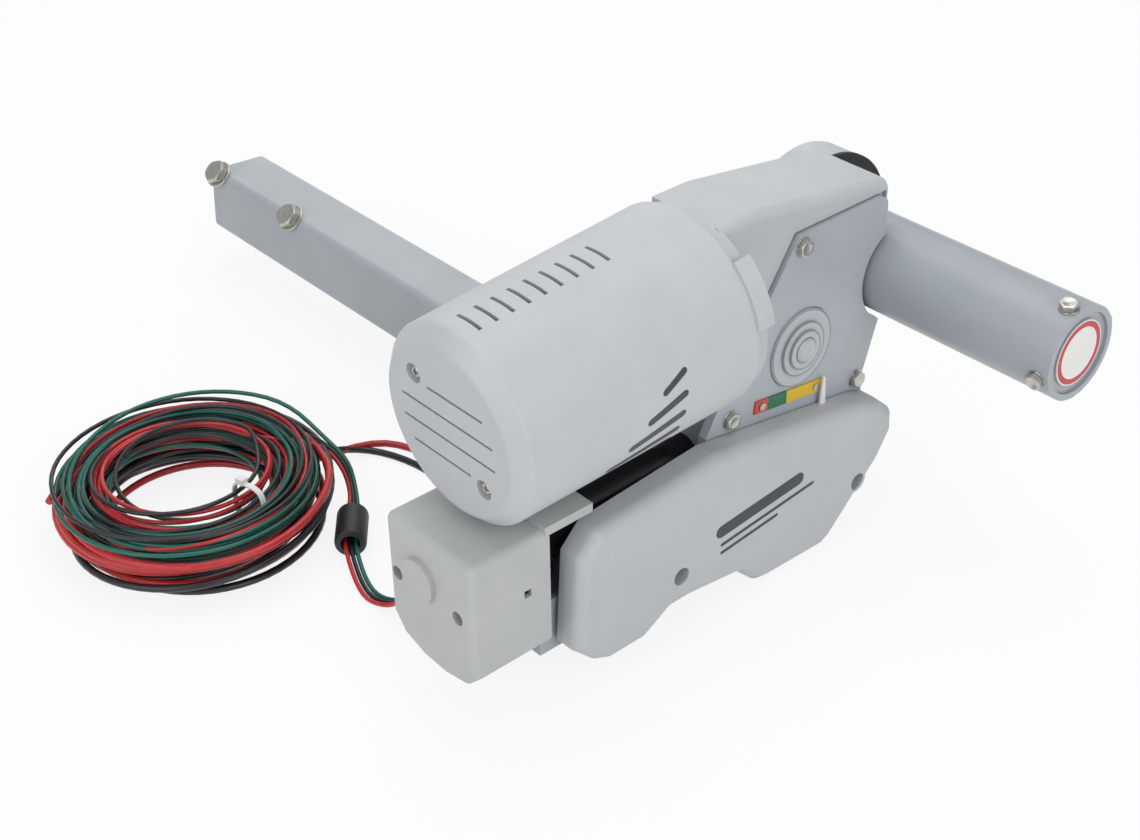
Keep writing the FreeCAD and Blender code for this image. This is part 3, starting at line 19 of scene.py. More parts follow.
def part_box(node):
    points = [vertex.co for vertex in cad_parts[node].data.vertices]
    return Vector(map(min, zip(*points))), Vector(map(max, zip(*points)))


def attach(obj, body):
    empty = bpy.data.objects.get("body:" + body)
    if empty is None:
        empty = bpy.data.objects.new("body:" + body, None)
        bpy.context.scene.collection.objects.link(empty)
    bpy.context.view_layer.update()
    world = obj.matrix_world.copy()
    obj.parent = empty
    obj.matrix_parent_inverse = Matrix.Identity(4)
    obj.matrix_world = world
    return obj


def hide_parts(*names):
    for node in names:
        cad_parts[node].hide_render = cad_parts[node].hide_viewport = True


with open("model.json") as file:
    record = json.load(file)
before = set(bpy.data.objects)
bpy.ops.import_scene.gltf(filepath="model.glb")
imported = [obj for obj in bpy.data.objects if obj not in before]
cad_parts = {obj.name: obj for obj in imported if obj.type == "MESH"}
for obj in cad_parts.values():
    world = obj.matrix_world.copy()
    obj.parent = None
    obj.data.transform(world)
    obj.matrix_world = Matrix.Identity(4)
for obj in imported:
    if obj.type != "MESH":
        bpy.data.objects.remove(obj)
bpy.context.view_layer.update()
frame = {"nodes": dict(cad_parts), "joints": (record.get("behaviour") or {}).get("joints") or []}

# %% [markdown]
# Sizes are easier to think about in millimetres, and from one natural point of the object. That point is the
# centre of the layshaft, on the outer face of the side plate. The frame knows where it is, because the
# layshaft turns about it. `at` turns millimetres from that point into metres in the frame.

# %% Millimetres from the layshaft's centre
MM = 0.001
joints = {joint["name"]: joint for joint in frame["joints"]}
PIN = Vector(joints["layshaft_spin"]["pos_m"])
ROLLER = Vector(joints["roller_spin"]["pos_m"])
MOTOR = Vector(joints["motor_shaft_spin"]["pos_m"])
MOTOR_AXIS = Vector(joints["motor_shaft_spin"]["axis"]).normalized()


def at(x, y, z):
    """A point given in millimetres from the layshaft's centre, in metres in the frame."""
    return PIN + Vector((x, y, z)) * MM


FLOOR_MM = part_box("lower_cover")[0].z / MM - PIN.z / MM
print("floor lies", round(FLOOR_MM, 1), "mm from the layshaft's centre")

# %% [markdown]
# The camera repeats the photograph's viewing angle. Its place was solved from the straight edges of the
# tube, the plate and the roller. A camera looks along its own negative Z axis, so the rotation matrix has the
# right, up and backward directions as its columns.

# %% Camera
CAMERA_PLACE = (623.8, -724.9, 590.3)
CAMERA_AZIMUTH = math.radians(49.112)
CAMERA_ELEVATION = math.radians(34.102)
CAMERA_ROLL = math.radians(-0.938)
LENS_MM = 58.30

forward = Vector((-math.sin(CAMERA_AZIMUTH) * math.cos(CAMERA_ELEVATION),
                  math.cos(CAMERA_AZIMUTH) * math.cos(CAMERA_ELEVATION),
                  -math.sin(CAMERA_ELEVATION)))
level_right = Vector((math.cos(CAMERA_AZIMUTH), math.sin(CAMERA_AZIMUTH), 0))
level_up = level_right.cross(forward)
right = level_right * math.cos(CAMERA_ROLL) + level_up * math.sin(CAMERA_ROLL)
up = level_up * math.cos(CAMERA_ROLL) - level_right * math.sin(CAMERA_ROLL)

camera_data = bpy.data.cameras.new("camera")
camera_data.sensor_width = 36
camera_data.lens = LENS_MM
camera = bpy.data.objects.new("camera", camera_data)
bpy.context.collection.objects.link(camera)
turn = Matrix((right, up, -forward)).transposed().to_4x4()
camera.matrix_world = Matrix.Translation(at(*CAMERA_PLACE)) @ turn
bpy.context.scene.camera = camera
print("camera at", [round(value, 3) for value in camera.matrix_world.translation])

# %% [markdown]
# The cables are the softest pieces and take the most room, so they are made first. Each one is a single
# smooth curve with a round bevel: it leaves the object, runs along the ground, and then winds into a coil.
# A NURBS spline suits a cable because it passes near its control points without sharp corners. Its order and
# its end points are set after the points are added, or Blender keeps straight runs between them.
#
# A loose coil is never a perfect spiral. Each turn here has its own radius, height and sideways shift, drawn
# from a seeded random source, and the cable drifts from one turn's values to the next.

# %% Cables: helpers
COIL_CENTRE = Vector((-275, -275))
POINTS_PER_TURN = 14
HEIGHT_WANDER = 0.6
LEAD_MM = 5
WIRE_MM = 3


def wound(count, start_angle, radius_range, height_range, wander, seed):
    """Points of loose turns about the coil's centre, in millimetres from the layshaft's centre."""
    source = random.Random(seed)
    turns = [{"radius": source.uniform(*radius_range), "height": source.uniform(*height_range),
              "shift": source.uniform(0, wander), "lean": source.uniform(0, 2 * math.pi)}
             for _ in range(int(count) + 3)]
    points = []
    for step in range(int(count * POINTS_PER_TURN)):
        along = step / POINTS_PER_TURN
        turn_number = int(along)
        share = along - turn_number
        blend = share * share * (3 - 2 * share)
        here, after = turns[turn_number], turns[turn_number + 1]
        radius = here["radius"] * (1 - blend) + after["radius"] * blend
        height = here["height"] * (1 - blend) + after["height"] * blend
        angle = start_angle + along * 2 * math.pi
        radius += here["shift"] * math.cos(angle - here["lean"])
        height += HEIGHT_WANDER * here["shift"] * math.sin(angle - here["lean"])
        radius = min(max(radius, radius_range[0]), radius_range[1])
        height = min(max(height, height_range[0]), height_range[1])
        points.append((COIL_CENTRE.x + radius * math.cos(angle), COIL_CENTRE.y + radius * math.sin(angle),
                       FLOOR_MM + height))
    return points


def cable(name, points, diameter):
    """One smooth cable through control points given in millimetres."""
    curve = bpy.data.curves.new(name, "CURVE")
    curve.dimensions = "3D"
    curve.bevel_depth = diameter / 2 * MM
    curve.bevel_resolution = 3
    curve.use_fill_caps = True
    curve.resolution_u = 4
    spline = curve.splines.new("NURBS")
    spline.points.add(len(points) - 1)
    for control, point in zip(spline.points, points):
        control.co = (*at(*point), 1)
    spline.order_u = 3
    spline.use_endpoint_u = True
    piece = bpy.data.objects.new(name, curve)
    bpy.context.collection.objects.link(piece)
    return piece


def cable_length(piece):
    """The length of a cable's centreline, in metres, measured without its bevel."""
    bare = piece.data.copy()
    bare.bevel_depth = 0
    holder = bpy.data.objects.new("measured", bare)
    mesh = bpy.data.meshes.new_from_object(holder)
    spots = [vertex.co for vertex in mesh.vertices]
    total = sum((b - a).length for a, b in zip(spots, spots[1:]))
    bpy.data.objects.remove(holder)
    bpy.data.meshes.remove(mesh)
    return total


# %% [markdown]
# The two thick power leads leave a gland under the motor, drop to the ground and wind into the coil. They lie
# side by side, and drift apart a little on the way, so that they don't look like one flat cable.

# %% Cables: the power leads
BASE_INNER_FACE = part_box("base_channel")[0].x / MM - PIN.x / MM
GLAND_LENGTH = (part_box("cable_gland")[1].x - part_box("cable_gland")[0].x) / MM
GLAND_Y = -128
GLAND_Z = -104
LEAD_TURNS = 12.5
LEAD_RADII = (58, 93.5)
LEAD_HEIGHTS = (3, 36)
lead_level = FLOOR_MM + LEAD_MM / 2

leads = []
for name, shift, drift, seed in (("lead_red", 4, 0, 11), ("lead_black", -4, 12, 12)):
    x = BASE_INNER_FACE - GLAND_LENGTH
    y = GLAND_Y + shift
    route = [(x, y, GLAND_Z), (x - 18, y, GLAND_Z), (x - 34, y + 2, GLAND_Z - 14),
             (x - 50, y + 4, lead_level + 3), (x - 80, y + 8, lead_level),
             (x - 120, y + 11 - drift / 3, lead_level), (x - 165, y + 9 - drift / 2, lead_level),
             (x - 198, y - 8 - drift / 2, lead_level)]
    turns = wound(LEAD_TURNS, math.radians(80), LEAD_RADII, LEAD_HEIGHTS, 7, seed)
    leads.append(cable(name + "_cable", route + turns, LEAD_MM))

# %% [markdown]
# The three thin control wires leave the box, pass through a ferrite core, which damps radio noise, and wind
# on top of the power leads. The core lies at a slant on the ground. Each wire keeps its own lane through it.

# %% Cables: the thin wires
WIRE_EXIT_Y = -223
WIRE_EXIT_Z = -96
WIRE_SPACING = 3.6
LANE_SPACING = 3.4
WIRE_TURNS = 10.4
WIRE_RADII = (46, 90)
WIRE_HEIGHTS = (26, 50.5)
FERRITE = Vector((-189, -209.6))
FERRITE_AXIS = Vector((0.777, -0.63))
wire_level = FLOOR_MM + WIRE_MM / 2
across_core = Vector((-FERRITE_AXIS.y, FERRITE_AXIS.x))

wires = []
for name, lane, seed in (("wire_red", -1, 21), ("wire_black", 0, 22), ("wire_green", 1, 23)):
    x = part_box("wire_grommet")[0].x / MM - PIN.x / MM
    y = WIRE_EXIT_Y + WIRE_SPACING * lane
    middle = FERRITE + across_core * LANE_SPACING * lane
    near_end = middle + FERRITE_AXIS * 20
    far_end = middle - FERRITE_AXIS * 18
    route = [(x, y, WIRE_EXIT_Z), (x - 12, y, WIRE_EXIT_Z), (x - 25, y - 2, WIRE_EXIT_Z - 16),
             (x - 36, y - 6, wire_level + 8), (x - 54, y - 11, wire_level), (x - 70, y - 12, wire_level + 1),
             (*near_end, wire_level + 8), (*middle, wire_level + 9), (*far_end, wire_level + 9),
             (-216, -188 + 2 * lane, wire_level + 14), (-232, -182 + 3 * lane, wire_level + 26),
             (-252, -186 + 3 * lane, wire_level + 36)]
    turns = wound(WIRE_TURNS, math.radians(98), WIRE_RADII, WIRE_HEIGHTS, 6, seed)
    wires.append(cable(name + "_cable", route + turns, WIRE_MM))

for piece in leads + wires:
    print(piece.name, "is", round(cable_length(piece), 2), "m long")

# %% [markdown]
# ## Finishes
#
# A hex colour is written for a screen, so it is gamma-coded, and Blender's shaders want linear light. One
# function turns the first into the second. Another adds a node with its settings and links, so that each
# material below reads as a list of what the real surface has.

# %% Material helpers
def linear(hex_colour):
    """An sRGB hex colour as linear red, green, blue and alpha."""
    channels = [int(hex_colour[i:i + 2], 16) / 255 for i in (0, 2, 4)]
    turned = [c / 12.92 if c <= 0.04045 else ((c + 0.055) / 1.055) ** 2.4 for c in channels]
    return (*turned, 1)


def add_node(tree, kind, settings=None, **links):
    """Add a node, set its properties, and fill its sockets with values or with other nodes' outputs."""
    node = tree.nodes.new(kind)
    for key, value in (settings or {}).items():
        setattr(node, key, value)
    for key, value in links.items():
        socket = node.inputs[int(key[1:])] if key[0] == "i" and key[1:].isdigit() else \
            node.inputs[key.replace("_", " ")]
        if isinstance(value, bpy.types.NodeSocket):
            tree.links.new(value, socket)
        else:
            socket.default_value = value
    return node


def new_material(name):
    """A material with Blender's standard surface shader, its node tree and that shader."""
    material = bpy.data.materials.new(name)
    material.use_nodes = True
    shader = material.node_tree.nodes["Principled BSDF"]
    print("material:", name)
    return material, material.node_tree, shader


def coloured(tree, shader, base, other, scale_mm, amount):
    """Vary a base colour softly towards another, in patches of a real size."""
    place = add_node(tree, "ShaderNodeTexCoord")
    noise = add_node(tree, "ShaderNodeTexNoise", Vector=place.outputs["Object"], Scale=1 / (scale_mm * MM),
                     Detail=3, Roughness=0.6)
    spread = add_node(tree, "ShaderNodeMapRange", i0=noise.outputs["Fac"], i1=0.35, i2=0.65, i3=0.0,
                      i4=amount)
    mixed = add_node(tree, "ShaderNodeMix", {"data_type": "RGBA"}, i0=spread.outputs[0], i6=linear(base),
                     i7=linear(other))
    tree.links.new(mixed.outputs[2], shader.inputs["Base Color"])
    return place, mixed


def bumped(tree, shader, place, grain_mm, height_mm, strength=1.0):
    """A fine grain in the surface: its width and height are real sizes."""
    grain = add_node(tree, "ShaderNodeTexNoise", Vector=place.outputs["Object"], Scale=1 / (grain_mm * MM),
                     Detail=2, Roughness=0.5)
    bump = add_node(tree, "ShaderNodeBump", Height=grain.outputs["Fac"], Distance=height_mm * MM,
                    Strength=strength)
    tree.links.new(bump.outputs["Normal"], shader.inputs["Normal"])


def roughened(tree, shader, place, low, high, scale_mm):
    """Let the roughness drift between two values, as handling and dust make it."""
    noise = add_node(tree, "ShaderNodeTexNoise", Vector=place.outputs["Object"], Scale=1 / (scale_mm * MM),
                     Detail=4)
    spread = add_node(tree, "ShaderNodeMapRange", i0=noise.outputs["Fac"], i1=0.3, i2=0.7, i3=low, i4=high)
    tree.links.new(spread.outputs[0], shader.inputs["Roughness"])


# %% [markdown]
# The covers are moulded ABS with a spark-eroded texture: the mould's surface is burnt by sparks, and the
# plastic copies its fine pits. It gives the eye a soft, even sheen without sharp reflections. The grain is
# about 0.5 mm wide, drawn a little coarser here so that it shows.

# %% Moulded plastics
def moulded_plastic(name, base, other, roughness, grain_mm=0.7, height_mm=0.035):
    material, tree, shader = new_material(name)
    shader.inputs["IOR"].default_value = 1.53
    place, _ = coloured(tree, shader, base, other, 35, 0.5)
    bumped(tree, shader, place, grain_mm, height_mm)
    roughened(tree, shader, place, roughness - 0.05, roughness + 0.08, 60)
    return material


ABS_COVER = moulded_plastic("abs_spark_eroded_light_grey", "BDC0C2", "B4B8BB", 0.48)
ABS_BOX = moulded_plastic("abs_spark_eroded_box_grey", "B7B9B8", "AEB1B1", 0.52)
ABS_LOWER = moulded_plastic("abs_spark_eroded_lower_cover", "B9BCBE", "B1B5B8", 0.46)
NYLON_BLACK = moulded_plastic("nylon_black_moulded", "1B1C1E", "242628", 0.45, 0.5, 0.02)
NYLON_WHITE = moulded_plastic("nylon_white_moulded", "E6E6E2", "DCDCD8", 0.4, 0.6, 0.01)
GLOSS_SLEEVE = moulded_plastic("abs_black_polished", "121315", "1A1C1F", 0.16, 2.0, 0.004)
RUBBER = moulded_plastic("rubber_black_cut_sheet", "1A1A1B", "262627", 0.75, 0.6, 0.03)

# %% [markdown]
# The steel pieces have satin powder paint. The powder melts into a skin that isn't quite flat, like the peel
# of an orange, with waves 1 to 2 mm wide. Paint is not a metal to light: metallic stays 0, and the gloss
# comes from its clear resin.

# %% Painted metals
def powder_paint(name, base, other, roughness, peel_mm=1.6, height_mm=0.02):
    material, tree, shader = new_material(name)
    shader.inputs["IOR"].default_value = 1.5
    place, _ = coloured(tree, shader, base, other, 50, 0.55)
    bumped(tree, shader, place, peel_mm, height_mm)
    roughened(tree, shader, place, roughness - 0.04, roughness + 0.08, 40)
    return material


STEEL_PAINT = powder_paint("steel_satin_powder_paint", "A6ABB0", "9DA2A8", 0.36)
PLATE_PAINT = powder_paint("steel_plate_satin_paint", "ABB0B5", "A3A8AE", 0.4)
ROLLER_PAINT = powder_paint("roller_satin_powder_paint", "A3A8AD", "9AA0A6", 0.34)
CAST_PAINT = powder_paint("cast_aluminium_powder_paint", "BABDBF", "B2B6B9", 0.44, 1.2, 0.03)
ENAMEL_BLACK = powder_paint("motor_black_enamel", "17181A", "1F2022", 0.3)

# %% [markdown]
# Bolts and shafts are metal. Zinc plating is pale and a little warm once it has aged, with a brushed grain
# that runs one way. A metal keeps the default IOR and takes its colour from the base colour, with metallic
# at 1.

# %% Bare metals
def bare_metal(name, base, other, roughness, grain_mm=0.6, stretch=12):
    material, tree, shader = new_material(name)
    shader.inputs["Metallic"].default_value = 1
    place, _ = coloured(tree, shader, base, other, 4, 0.7)
    stretched = add_node(tree, "ShaderNodeMapping", Vector=place.outputs["Object"],
                         Scale=(1, stretch, stretch))
    grain = add_node(tree, "ShaderNodeTexNoise", Vector=stretched.outputs["Vector"],
                     Scale=1 / (grain_mm * stretch * MM), Detail=3)
    bump = add_node(tree, "ShaderNodeBump", Height=grain.outputs["Fac"], Distance=0.02 * MM, Strength=0.6)
    tree.links.new(bump.outputs["Normal"], shader.inputs["Normal"])
    roughened(tree, shader, place, roughness - 0.06, roughness + 0.1, 6)
    return material


ZINC = bare_metal("steel_zinc_plated", "C9C7C0", "B5B2A9", 0.3)
STAINLESS = bare_metal("steel_stainless_machined", "C4C6C8", "B4B7BA", 0.26)
GEAR_STEEL = bare_metal("steel_cut_and_oiled", "8E8E8C", "77777A", 0.34)
BRONZE = bare_metal("bronze_machined", "B08A52", "9A7543", 0.35)

# %% [markdown]
# Cable sheaths are soft PVC. It is smooth, a little greasy to the eye, and picks up pale dust.

# %% Cable sheaths
def pvc(name, base, other):
    material, tree, shader = new_material(name)
    shader.inputs["IOR"].default_value = 1.54
    place, _ = coloured(tree, shader, base, other, 18, 0.6)
    bumped(tree, shader, place, 3, 0.03, 0.5)
    roughened(tree, shader, place, 0.26, 0.4, 12)
    return material


PVC_RED = pvc("pvc_red", "C22A2C", "A81E24")
PVC_BLACK = pvc("pvc_black", "1A1A1E", "26262B")
PVC_GREEN = pvc("pvc_teal_green", "0F5A4E", "156B5B")

# %% [markdown]
# Each cable takes its sheath, moves with the fixed base and stands for its own tube and for the coil in the
# frame.

SHEATHS = {"lead_red": PVC_RED, "lead_black": PVC_BLACK, "wire_red": PVC_RED, "wire_black": PVC_BLACK,
           "wire_green": PVC_GREEN}
bpy.context.view_layer.update()
for piece in leads + wires:
    node = piece.name.replace("_cable", "")
    thick = LEAD_MM if piece in leads else WIRE_MM
    piece.data.materials.append(SHEATHS[node])
    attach(piece, "base")
    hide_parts(node, "cable_coil" if piece in leads else "wire_hank")
    round(cable_length(piece), 2)
    print(node, "is declared as a cord", thick, "mm thick")

# %% [markdown]
# ## Finishes on the frame's own pieces
#
# Most pieces keep the frame's shape and only need a finish. A small bevel modifier rounds their sharp edges,
# because light catches a real edge and a knife-sharp one looks drawn.

# %% Dress the frame's pieces
FINISHES = {
    "abs cover": (ABS_COVER, 0.4, ["motor_cover"]),
    "abs box": (ABS_BOX, 0.5, ["box_front_cap", "box_rear_shell", "crank_plug"]),
    "abs lower": (ABS_LOWER, 0.4, ["lower_cover"]),
    "cast": (CAST_PAINT, 0.8, ["gear_housing_front", "actuator_gearcase"]),
    "plate": (PLATE_PAINT, 0.4, ["side_plate", "inner_plate"]),
    "steel": (STEEL_PAINT, 0.4, ["cross_tube", "base_channel", "base_front_plate", "bush_block_front",
                                 "bush_block_rear", "carriage_block_front", "carriage_block_rear",
                                 "bearing_carrier"]),
    "roller": (ROLLER_PAINT, 0.4, ["roller_tube", "roller_hub"]),
    "zinc": (ZINC, 0.25, ["strip_rivets"]),
    "shafts": (STAINLESS, 0.3, ["guide_rods", "actuator_spindle", "layshaft", "roller_shaft", "worm_shaft",
                                "shaft_bearings"]),
    "gears": (GEAR_STEEL, 0, ["drive_pinion", "final_gear", "spindle_gear", "crank_pinion"]),
    "bronze": (BRONZE, 0, ["worm_wheel", "guide_bushes", "spindle_nut"]),
    "enamel": (ENAMEL_BLACK, 0.5, ["drive_motor", "actuator_motor"]),
    "sleeve": (GLOSS_SLEEVE, 0.3, ["actuator_tube", "push_tube"]),
    "rubber": (RUBBER, 0.2, ["cable_gland", "wire_grommet"]),
    "white": (NYLON_WHITE, 0.2, ["pointer"]),
}


def dress(node, material, edge_mm):
    """Give a frame piece its finish, and round its sharp edges by a width in millimetres."""
    piece = frame["nodes"][node]
    piece.data.materials.clear()
    piece.data.materials.append(material)
    if edge_mm:
        bevel = piece.modifiers.new("edges", "BEVEL")
        bevel.width = edge_mm * MM
        bevel.segments = 2
        bevel.limit_method = "ANGLE"
        bevel.angle_limit = math.radians(40)
        bevel.harden_normals = False


for material, edge_mm, nodes in FINISHES.values():
    for node in nodes:
        dress(node, material, edge_mm)
    print(material.name, "on", len(nodes), "pieces")

# %% [markdown]
# The position strip is a printed metal plate in three colours that shows how far the roller is from the tyre.
# The colours are picked by place along the strip, which the material reads from the object's coordinates.

# %% Position strip
STRIP_RED_END = -27.7
STRIP_GREEN_END = -11


def strip_print():
    material, tree, shader = new_material("printed_aluminium_strip")
    place = add_node(tree, "ShaderNodeTexCoord")
    split = add_node(tree, "ShaderNodeSeparateXYZ", Vector=place.outputs["Object"])
    past_red = add_node(tree, "ShaderNodeMath", {"operation": "GREATER_THAN"}, i0=split.outputs["Y"],
                        i1=at(0, STRIP_RED_END, 0).y)
    past_green = add_node(tree, "ShaderNodeMath", {"operation": "GREATER_THAN"}, i0=split.outputs["Y"],
                          i1=at(0, STRIP_GREEN_END, 0).y)
    first = add_node(tree, "ShaderNodeMix", {"data_type": "RGBA"}, i0=past_red.outputs[0],
                     i6=linear("C4473C"), i7=linear("1F6B45"))
    second = add_node(tree, "ShaderNodeMix", {"data_type": "RGBA"}, i0=past_green.outputs[0],
                      i6=first.outputs[2], i7=linear("D9B21A"))
    worn = add_node(tree, "ShaderNodeTexNoise", Vector=place.outputs["Object"], Scale=1 / (3 * MM), Detail=5)
    spread = add_node(tree, "ShaderNodeMapRange", i0=worn.outputs["Fac"], i1=0.62, i2=0.72, i3=0.0, i4=0.35)
    mixed = add_node(tree, "ShaderNodeMix", {"data_type": "RGBA"}, i0=spread.outputs[0], i6=second.outputs[2],
                     i7=linear("8C8A80"))
    tree.links.new(mixed.outputs[2], shader.inputs["Base Color"])
    shader.inputs["Roughness"].default_value = 0.38
    return material


dress("indicator_strip", strip_print(), 0.2)

# %% [markdown]
# The round cap over the layshaft's bearing is turned in steps. A fine dark ring of painted shade is drawn
# in the corner of each step. The material finds those places by their distance from the
# layshaft's axis.

# %% Bearing cap
CAP_STEPS = (25.3, 17.6, 12.6, 8.3)
# Width of the ring of painted shade at each step's corner.
STEP_SHADE_MM = 0.7


def turned_cap():
    material, tree, shader = new_material("bearing_cap_satin_paint")
    place, mixed = coloured(tree, shader, "B4B9BD", "AAAFB4", 30, 0.5)
    split = add_node(tree, "ShaderNodeSeparateXYZ", Vector=place.outputs["Object"])
    flat = add_node(tree, "ShaderNodeCombineXYZ", i1=split.outputs["Y"], i2=split.outputs["Z"])
    away = add_node(tree, "ShaderNodeVectorMath", {"operation": "DISTANCE"}, i0=flat.outputs[0],
                    i1=(0, PIN.y, PIN.z))
    step_shade = None
    for radius in CAP_STEPS:
        gap = add_node(tree, "ShaderNodeMath", {"operation": "SUBTRACT"}, i0=away.outputs["Value"],
                       i1=radius * MM)
        size = add_node(tree, "ShaderNodeMath", {"operation": "ABSOLUTE"}, i0=gap.outputs[0])
        near = add_node(tree, "ShaderNodeMapRange", i0=size.outputs[0], i1=0.2 * STEP_SHADE_MM * MM,
                        i2=STEP_SHADE_MM * MM, i3=0.75, i4=0.0)
        if step_shade is None:
            step_shade = near
        else:
            step_shade = add_node(tree, "ShaderNodeMath", {"operation": "MAXIMUM"}, i0=step_shade.outputs[0],
                            i1=near.outputs[0])
    # Painted shade: a dark grey ring is mixed into the colour at each step's corner.
    shaded_colour = add_node(tree, "ShaderNodeMix", {"data_type": "RGBA"}, i0=step_shade.outputs[0], i6=mixed.outputs[2],
                     i7=linear("54585C"))
    tree.links.new(shaded_colour.outputs[2], shader.inputs["Base Color"])
    bumped(tree, shader, place, 1.4, 0.02)
    shader.inputs["Roughness"].default_value = 0.36
    return material


dress("bearing_cap", turned_cap(), 0.3)

# %% [markdown]
# ## Turned and forged small parts
#
# A forged bolt head isn't a plain prism. It is turned on its top, so that a cone cuts its six corners, and it
# is a little hollow in the middle. All of that can be built as a stack of rings with equal point counts: the
# radius of a six-sided ring is worked out from the angle, and so is that of a cross recess. `skin` joins rows
# of points into one closed mesh, and `stack` makes its rows from pairs of radius and height about an axis.

# %% Helpers for stacked rings
RING_POINTS = 48
SHARP_EDGE = math.radians(32)


def skin(mesh, rows, loop=False):
    """Join rows of points, given in metres, by faces. The ends are capped, or joined into a loop."""
    rows = [[mesh.verts.new(point) for point in row] for row in rows]
    pairs = list(zip(rows, rows[1:]))
    if loop:
        pairs.append((rows[-1], rows[0]))
    else:
        mesh.faces.new(list(reversed(rows[0])))
        mesh.faces.new(rows[-1])
    count = len(rows[0])
    for low, high in pairs:
        for step in range(count):
            after = (step + 1) % count
            mesh.faces.new((low[step], low[after], high[after], high[step]))


def stack(mesh, rings, place, direction, loop=False):
    """A body of rings about an axis. A radius or a height, in millimetres, may be a function of the angle."""
    matrix = Matrix.Translation(place) @ Vector(direction).to_track_quat("Z", "Y").to_matrix().to_4x4()
    rows = []
    for radius, height in rings:
        row = []
        for step in range(RING_POINTS):
            angle = 2 * math.pi * step / RING_POINTS
            r = radius(angle) if callable(radius) else radius
            h = height(angle) if callable(height) else height
            row.append(matrix @ (Vector((r * math.cos(angle), r * math.sin(angle), h)) * MM))
        rows.append(row)
    skin(mesh, rows, loop)


def finished_piece(name, mesh, material, body, slot, *nodes):
    """Turn a mesh under construction into a piece that moves with a body, and may replace frame nodes."""
    bmesh.ops.recalc_face_normals(mesh, faces=mesh.faces)
    for face in mesh.faces:
        face.smooth = True
    for edge in mesh.edges:
        edge.smooth = edge.calc_face_angle(0) < SHARP_EDGE
    data = bpy.data.meshes.new(name)
    mesh.to_mesh(data)
    mesh.free()
    data.materials.append(material)
    piece = bpy.data.objects.new(name, data)
    bpy.context.collection.objects.link(piece)
    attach(piece, body)
    if nodes:
        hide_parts(*nodes)
    print(name, "has", len(data.polygons), "faces and moves with the", body)


# %% [markdown]
# Small bolts hold the side plate and the end of the roller, and two large ones clamp a square bar in the
# cross tube. A dictionary holds each kind's sizes in millimetres: flats and head, washer, and the stub of the
# shank.

# %% Six-sided bolts
CHAMFER_SLOPE = math.tan(math.radians(30))
PLATE_BOLT = {"flats": 10, "head": 3.4, "washer": 6.2, "washer_thick": 0.8, "shank": 3, "shank_long": 6}
ROLLER_BOLT = {"flats": 10, "head": 4, "washer": 6, "washer_thick": 1.2, "shank": 3, "shank_long": 4}
CLAMP_BOLT = {"flats": 16.5, "head": 6.4, "washer": 11, "washer_thick": 1.6, "shank": 5, "shank_long": 9}


def hex_bolt(mesh, place, direction, flats, head, washer, washer_thick, shank, shank_long):
    """A bolt that stands on a face: shank below it, then a washer, then a head with turned corners."""
    rim = 0.475 * flats
    top = washer_thick + head

    def outline(angle):
        return flats / 2 / math.cos((angle + math.pi / 6) % (math.pi / 3) - math.pi / 6)

    def cut_corner(angle):
        return top - (outline(angle) - rim) * CHAMFER_SLOPE

    edge = 0.2 * washer_thick
    stack(mesh, [(shank, -shank_long), (shank, 0), (washer - edge, 0), (washer, edge),
                 (washer, washer_thick - edge), (washer - edge, washer_thick), (rim, washer_thick),
                 (rim, washer_thick + 0.2), (outline, washer_thick + 0.3), (outline, cut_corner), (rim, top),
                 (0.72 * rim, top), (0.6 * rim, top - 0.08 * head)], place, direction)


plate_mesh = bmesh.new()
for y, z in ((-3.5, 70.1), (54.6, -45.9), (-59.1, -25.9)):
    hex_bolt(plate_mesh, at(0, y, z), (1, 0, 0), **PLATE_BOLT)
finished_piece("plate_bolt_heads", plate_mesh, ZINC, "carriage", "bright_steel", "plate_bolts")

ROLLER_BOLT_X = 128
ROLLER_SEAT = 29.4
roller_mesh = bmesh.new()
for degrees in (12, 107, 190, 282):
    angle = math.radians(degrees)
    outward = Vector((0, -math.sin(angle), math.cos(angle)))
    foot = Vector((at(ROLLER_BOLT_X, 0, 0).x, ROLLER.y, ROLLER.z)) + outward * ROLLER_SEAT * MM
    hex_bolt(roller_mesh, foot, outward, **ROLLER_BOLT)
finished_piece("roller_bolt_heads", roller_mesh, ZINC, "roller", "bright_steel", "roller_bolts")

TUBE_Y = -45.7
TUBE_Z = -88.9
CLAMP_START = 32.87
CLAMP_ANGLE = math.radians(41.5)
clamp_out = Vector((0, -math.sin(CLAMP_ANGLE), math.cos(CLAMP_ANGLE)))
clamp_mesh = bmesh.new()
for x in (-554, -454):
    foot = at(x, TUBE_Y, TUBE_Z) + clamp_out * CLAMP_START * MM
    hex_bolt(clamp_mesh, foot, clamp_out, **CLAMP_BOLT)
finished_piece("clamp_bolt_heads", clamp_mesh, ZINC, "base", "bright_steel", "clamp_bolts")

# %% [markdown]
# The case screws have a low domed head with a cross recess. The recess is one more ring of the stack: its
# radius is large along the four arms and small between them. Because every ring has the same number of
# points, the flat between the round head and the cross needs no cutting.

# %% Cross-head screws
def on_motor(x, y, z):
    """A place given along the motor: sideways, upwards and away from the gears, in millimetres."""
    away = -MOTOR_AXIS
    upwards = away.cross(Vector((1, 0, 0)))
    return MOTOR + (Vector((x, 0, 0)) + upwards * y + away * z) * MM


def cross_screw(mesh, place, direction, radius, height):
    """A domed screw head that stands on a face, with a tapered cross recess and a stub of its shank."""
    arm = 0.56 * radius
    half_width = 0.15 * radius

    def cross(angle):
        folded = (angle + math.pi / 4) % (math.pi / 2) - math.pi / 4
        return min(arm / math.cos(folded), half_width / max(abs(math.sin(folded)), 0.01))

    def cross_floor(angle):
        return 0.7 * cross(angle)

    stack(mesh, [(0.55 * radius, -4), (0.55 * radius, 0), (radius, 0), (radius, 0.4 * height),
                 (0.9 * radius, 0.72 * height), (0.7 * radius, height), (cross, height),
                 (cross_floor, 0.35 * height)], place, direction)


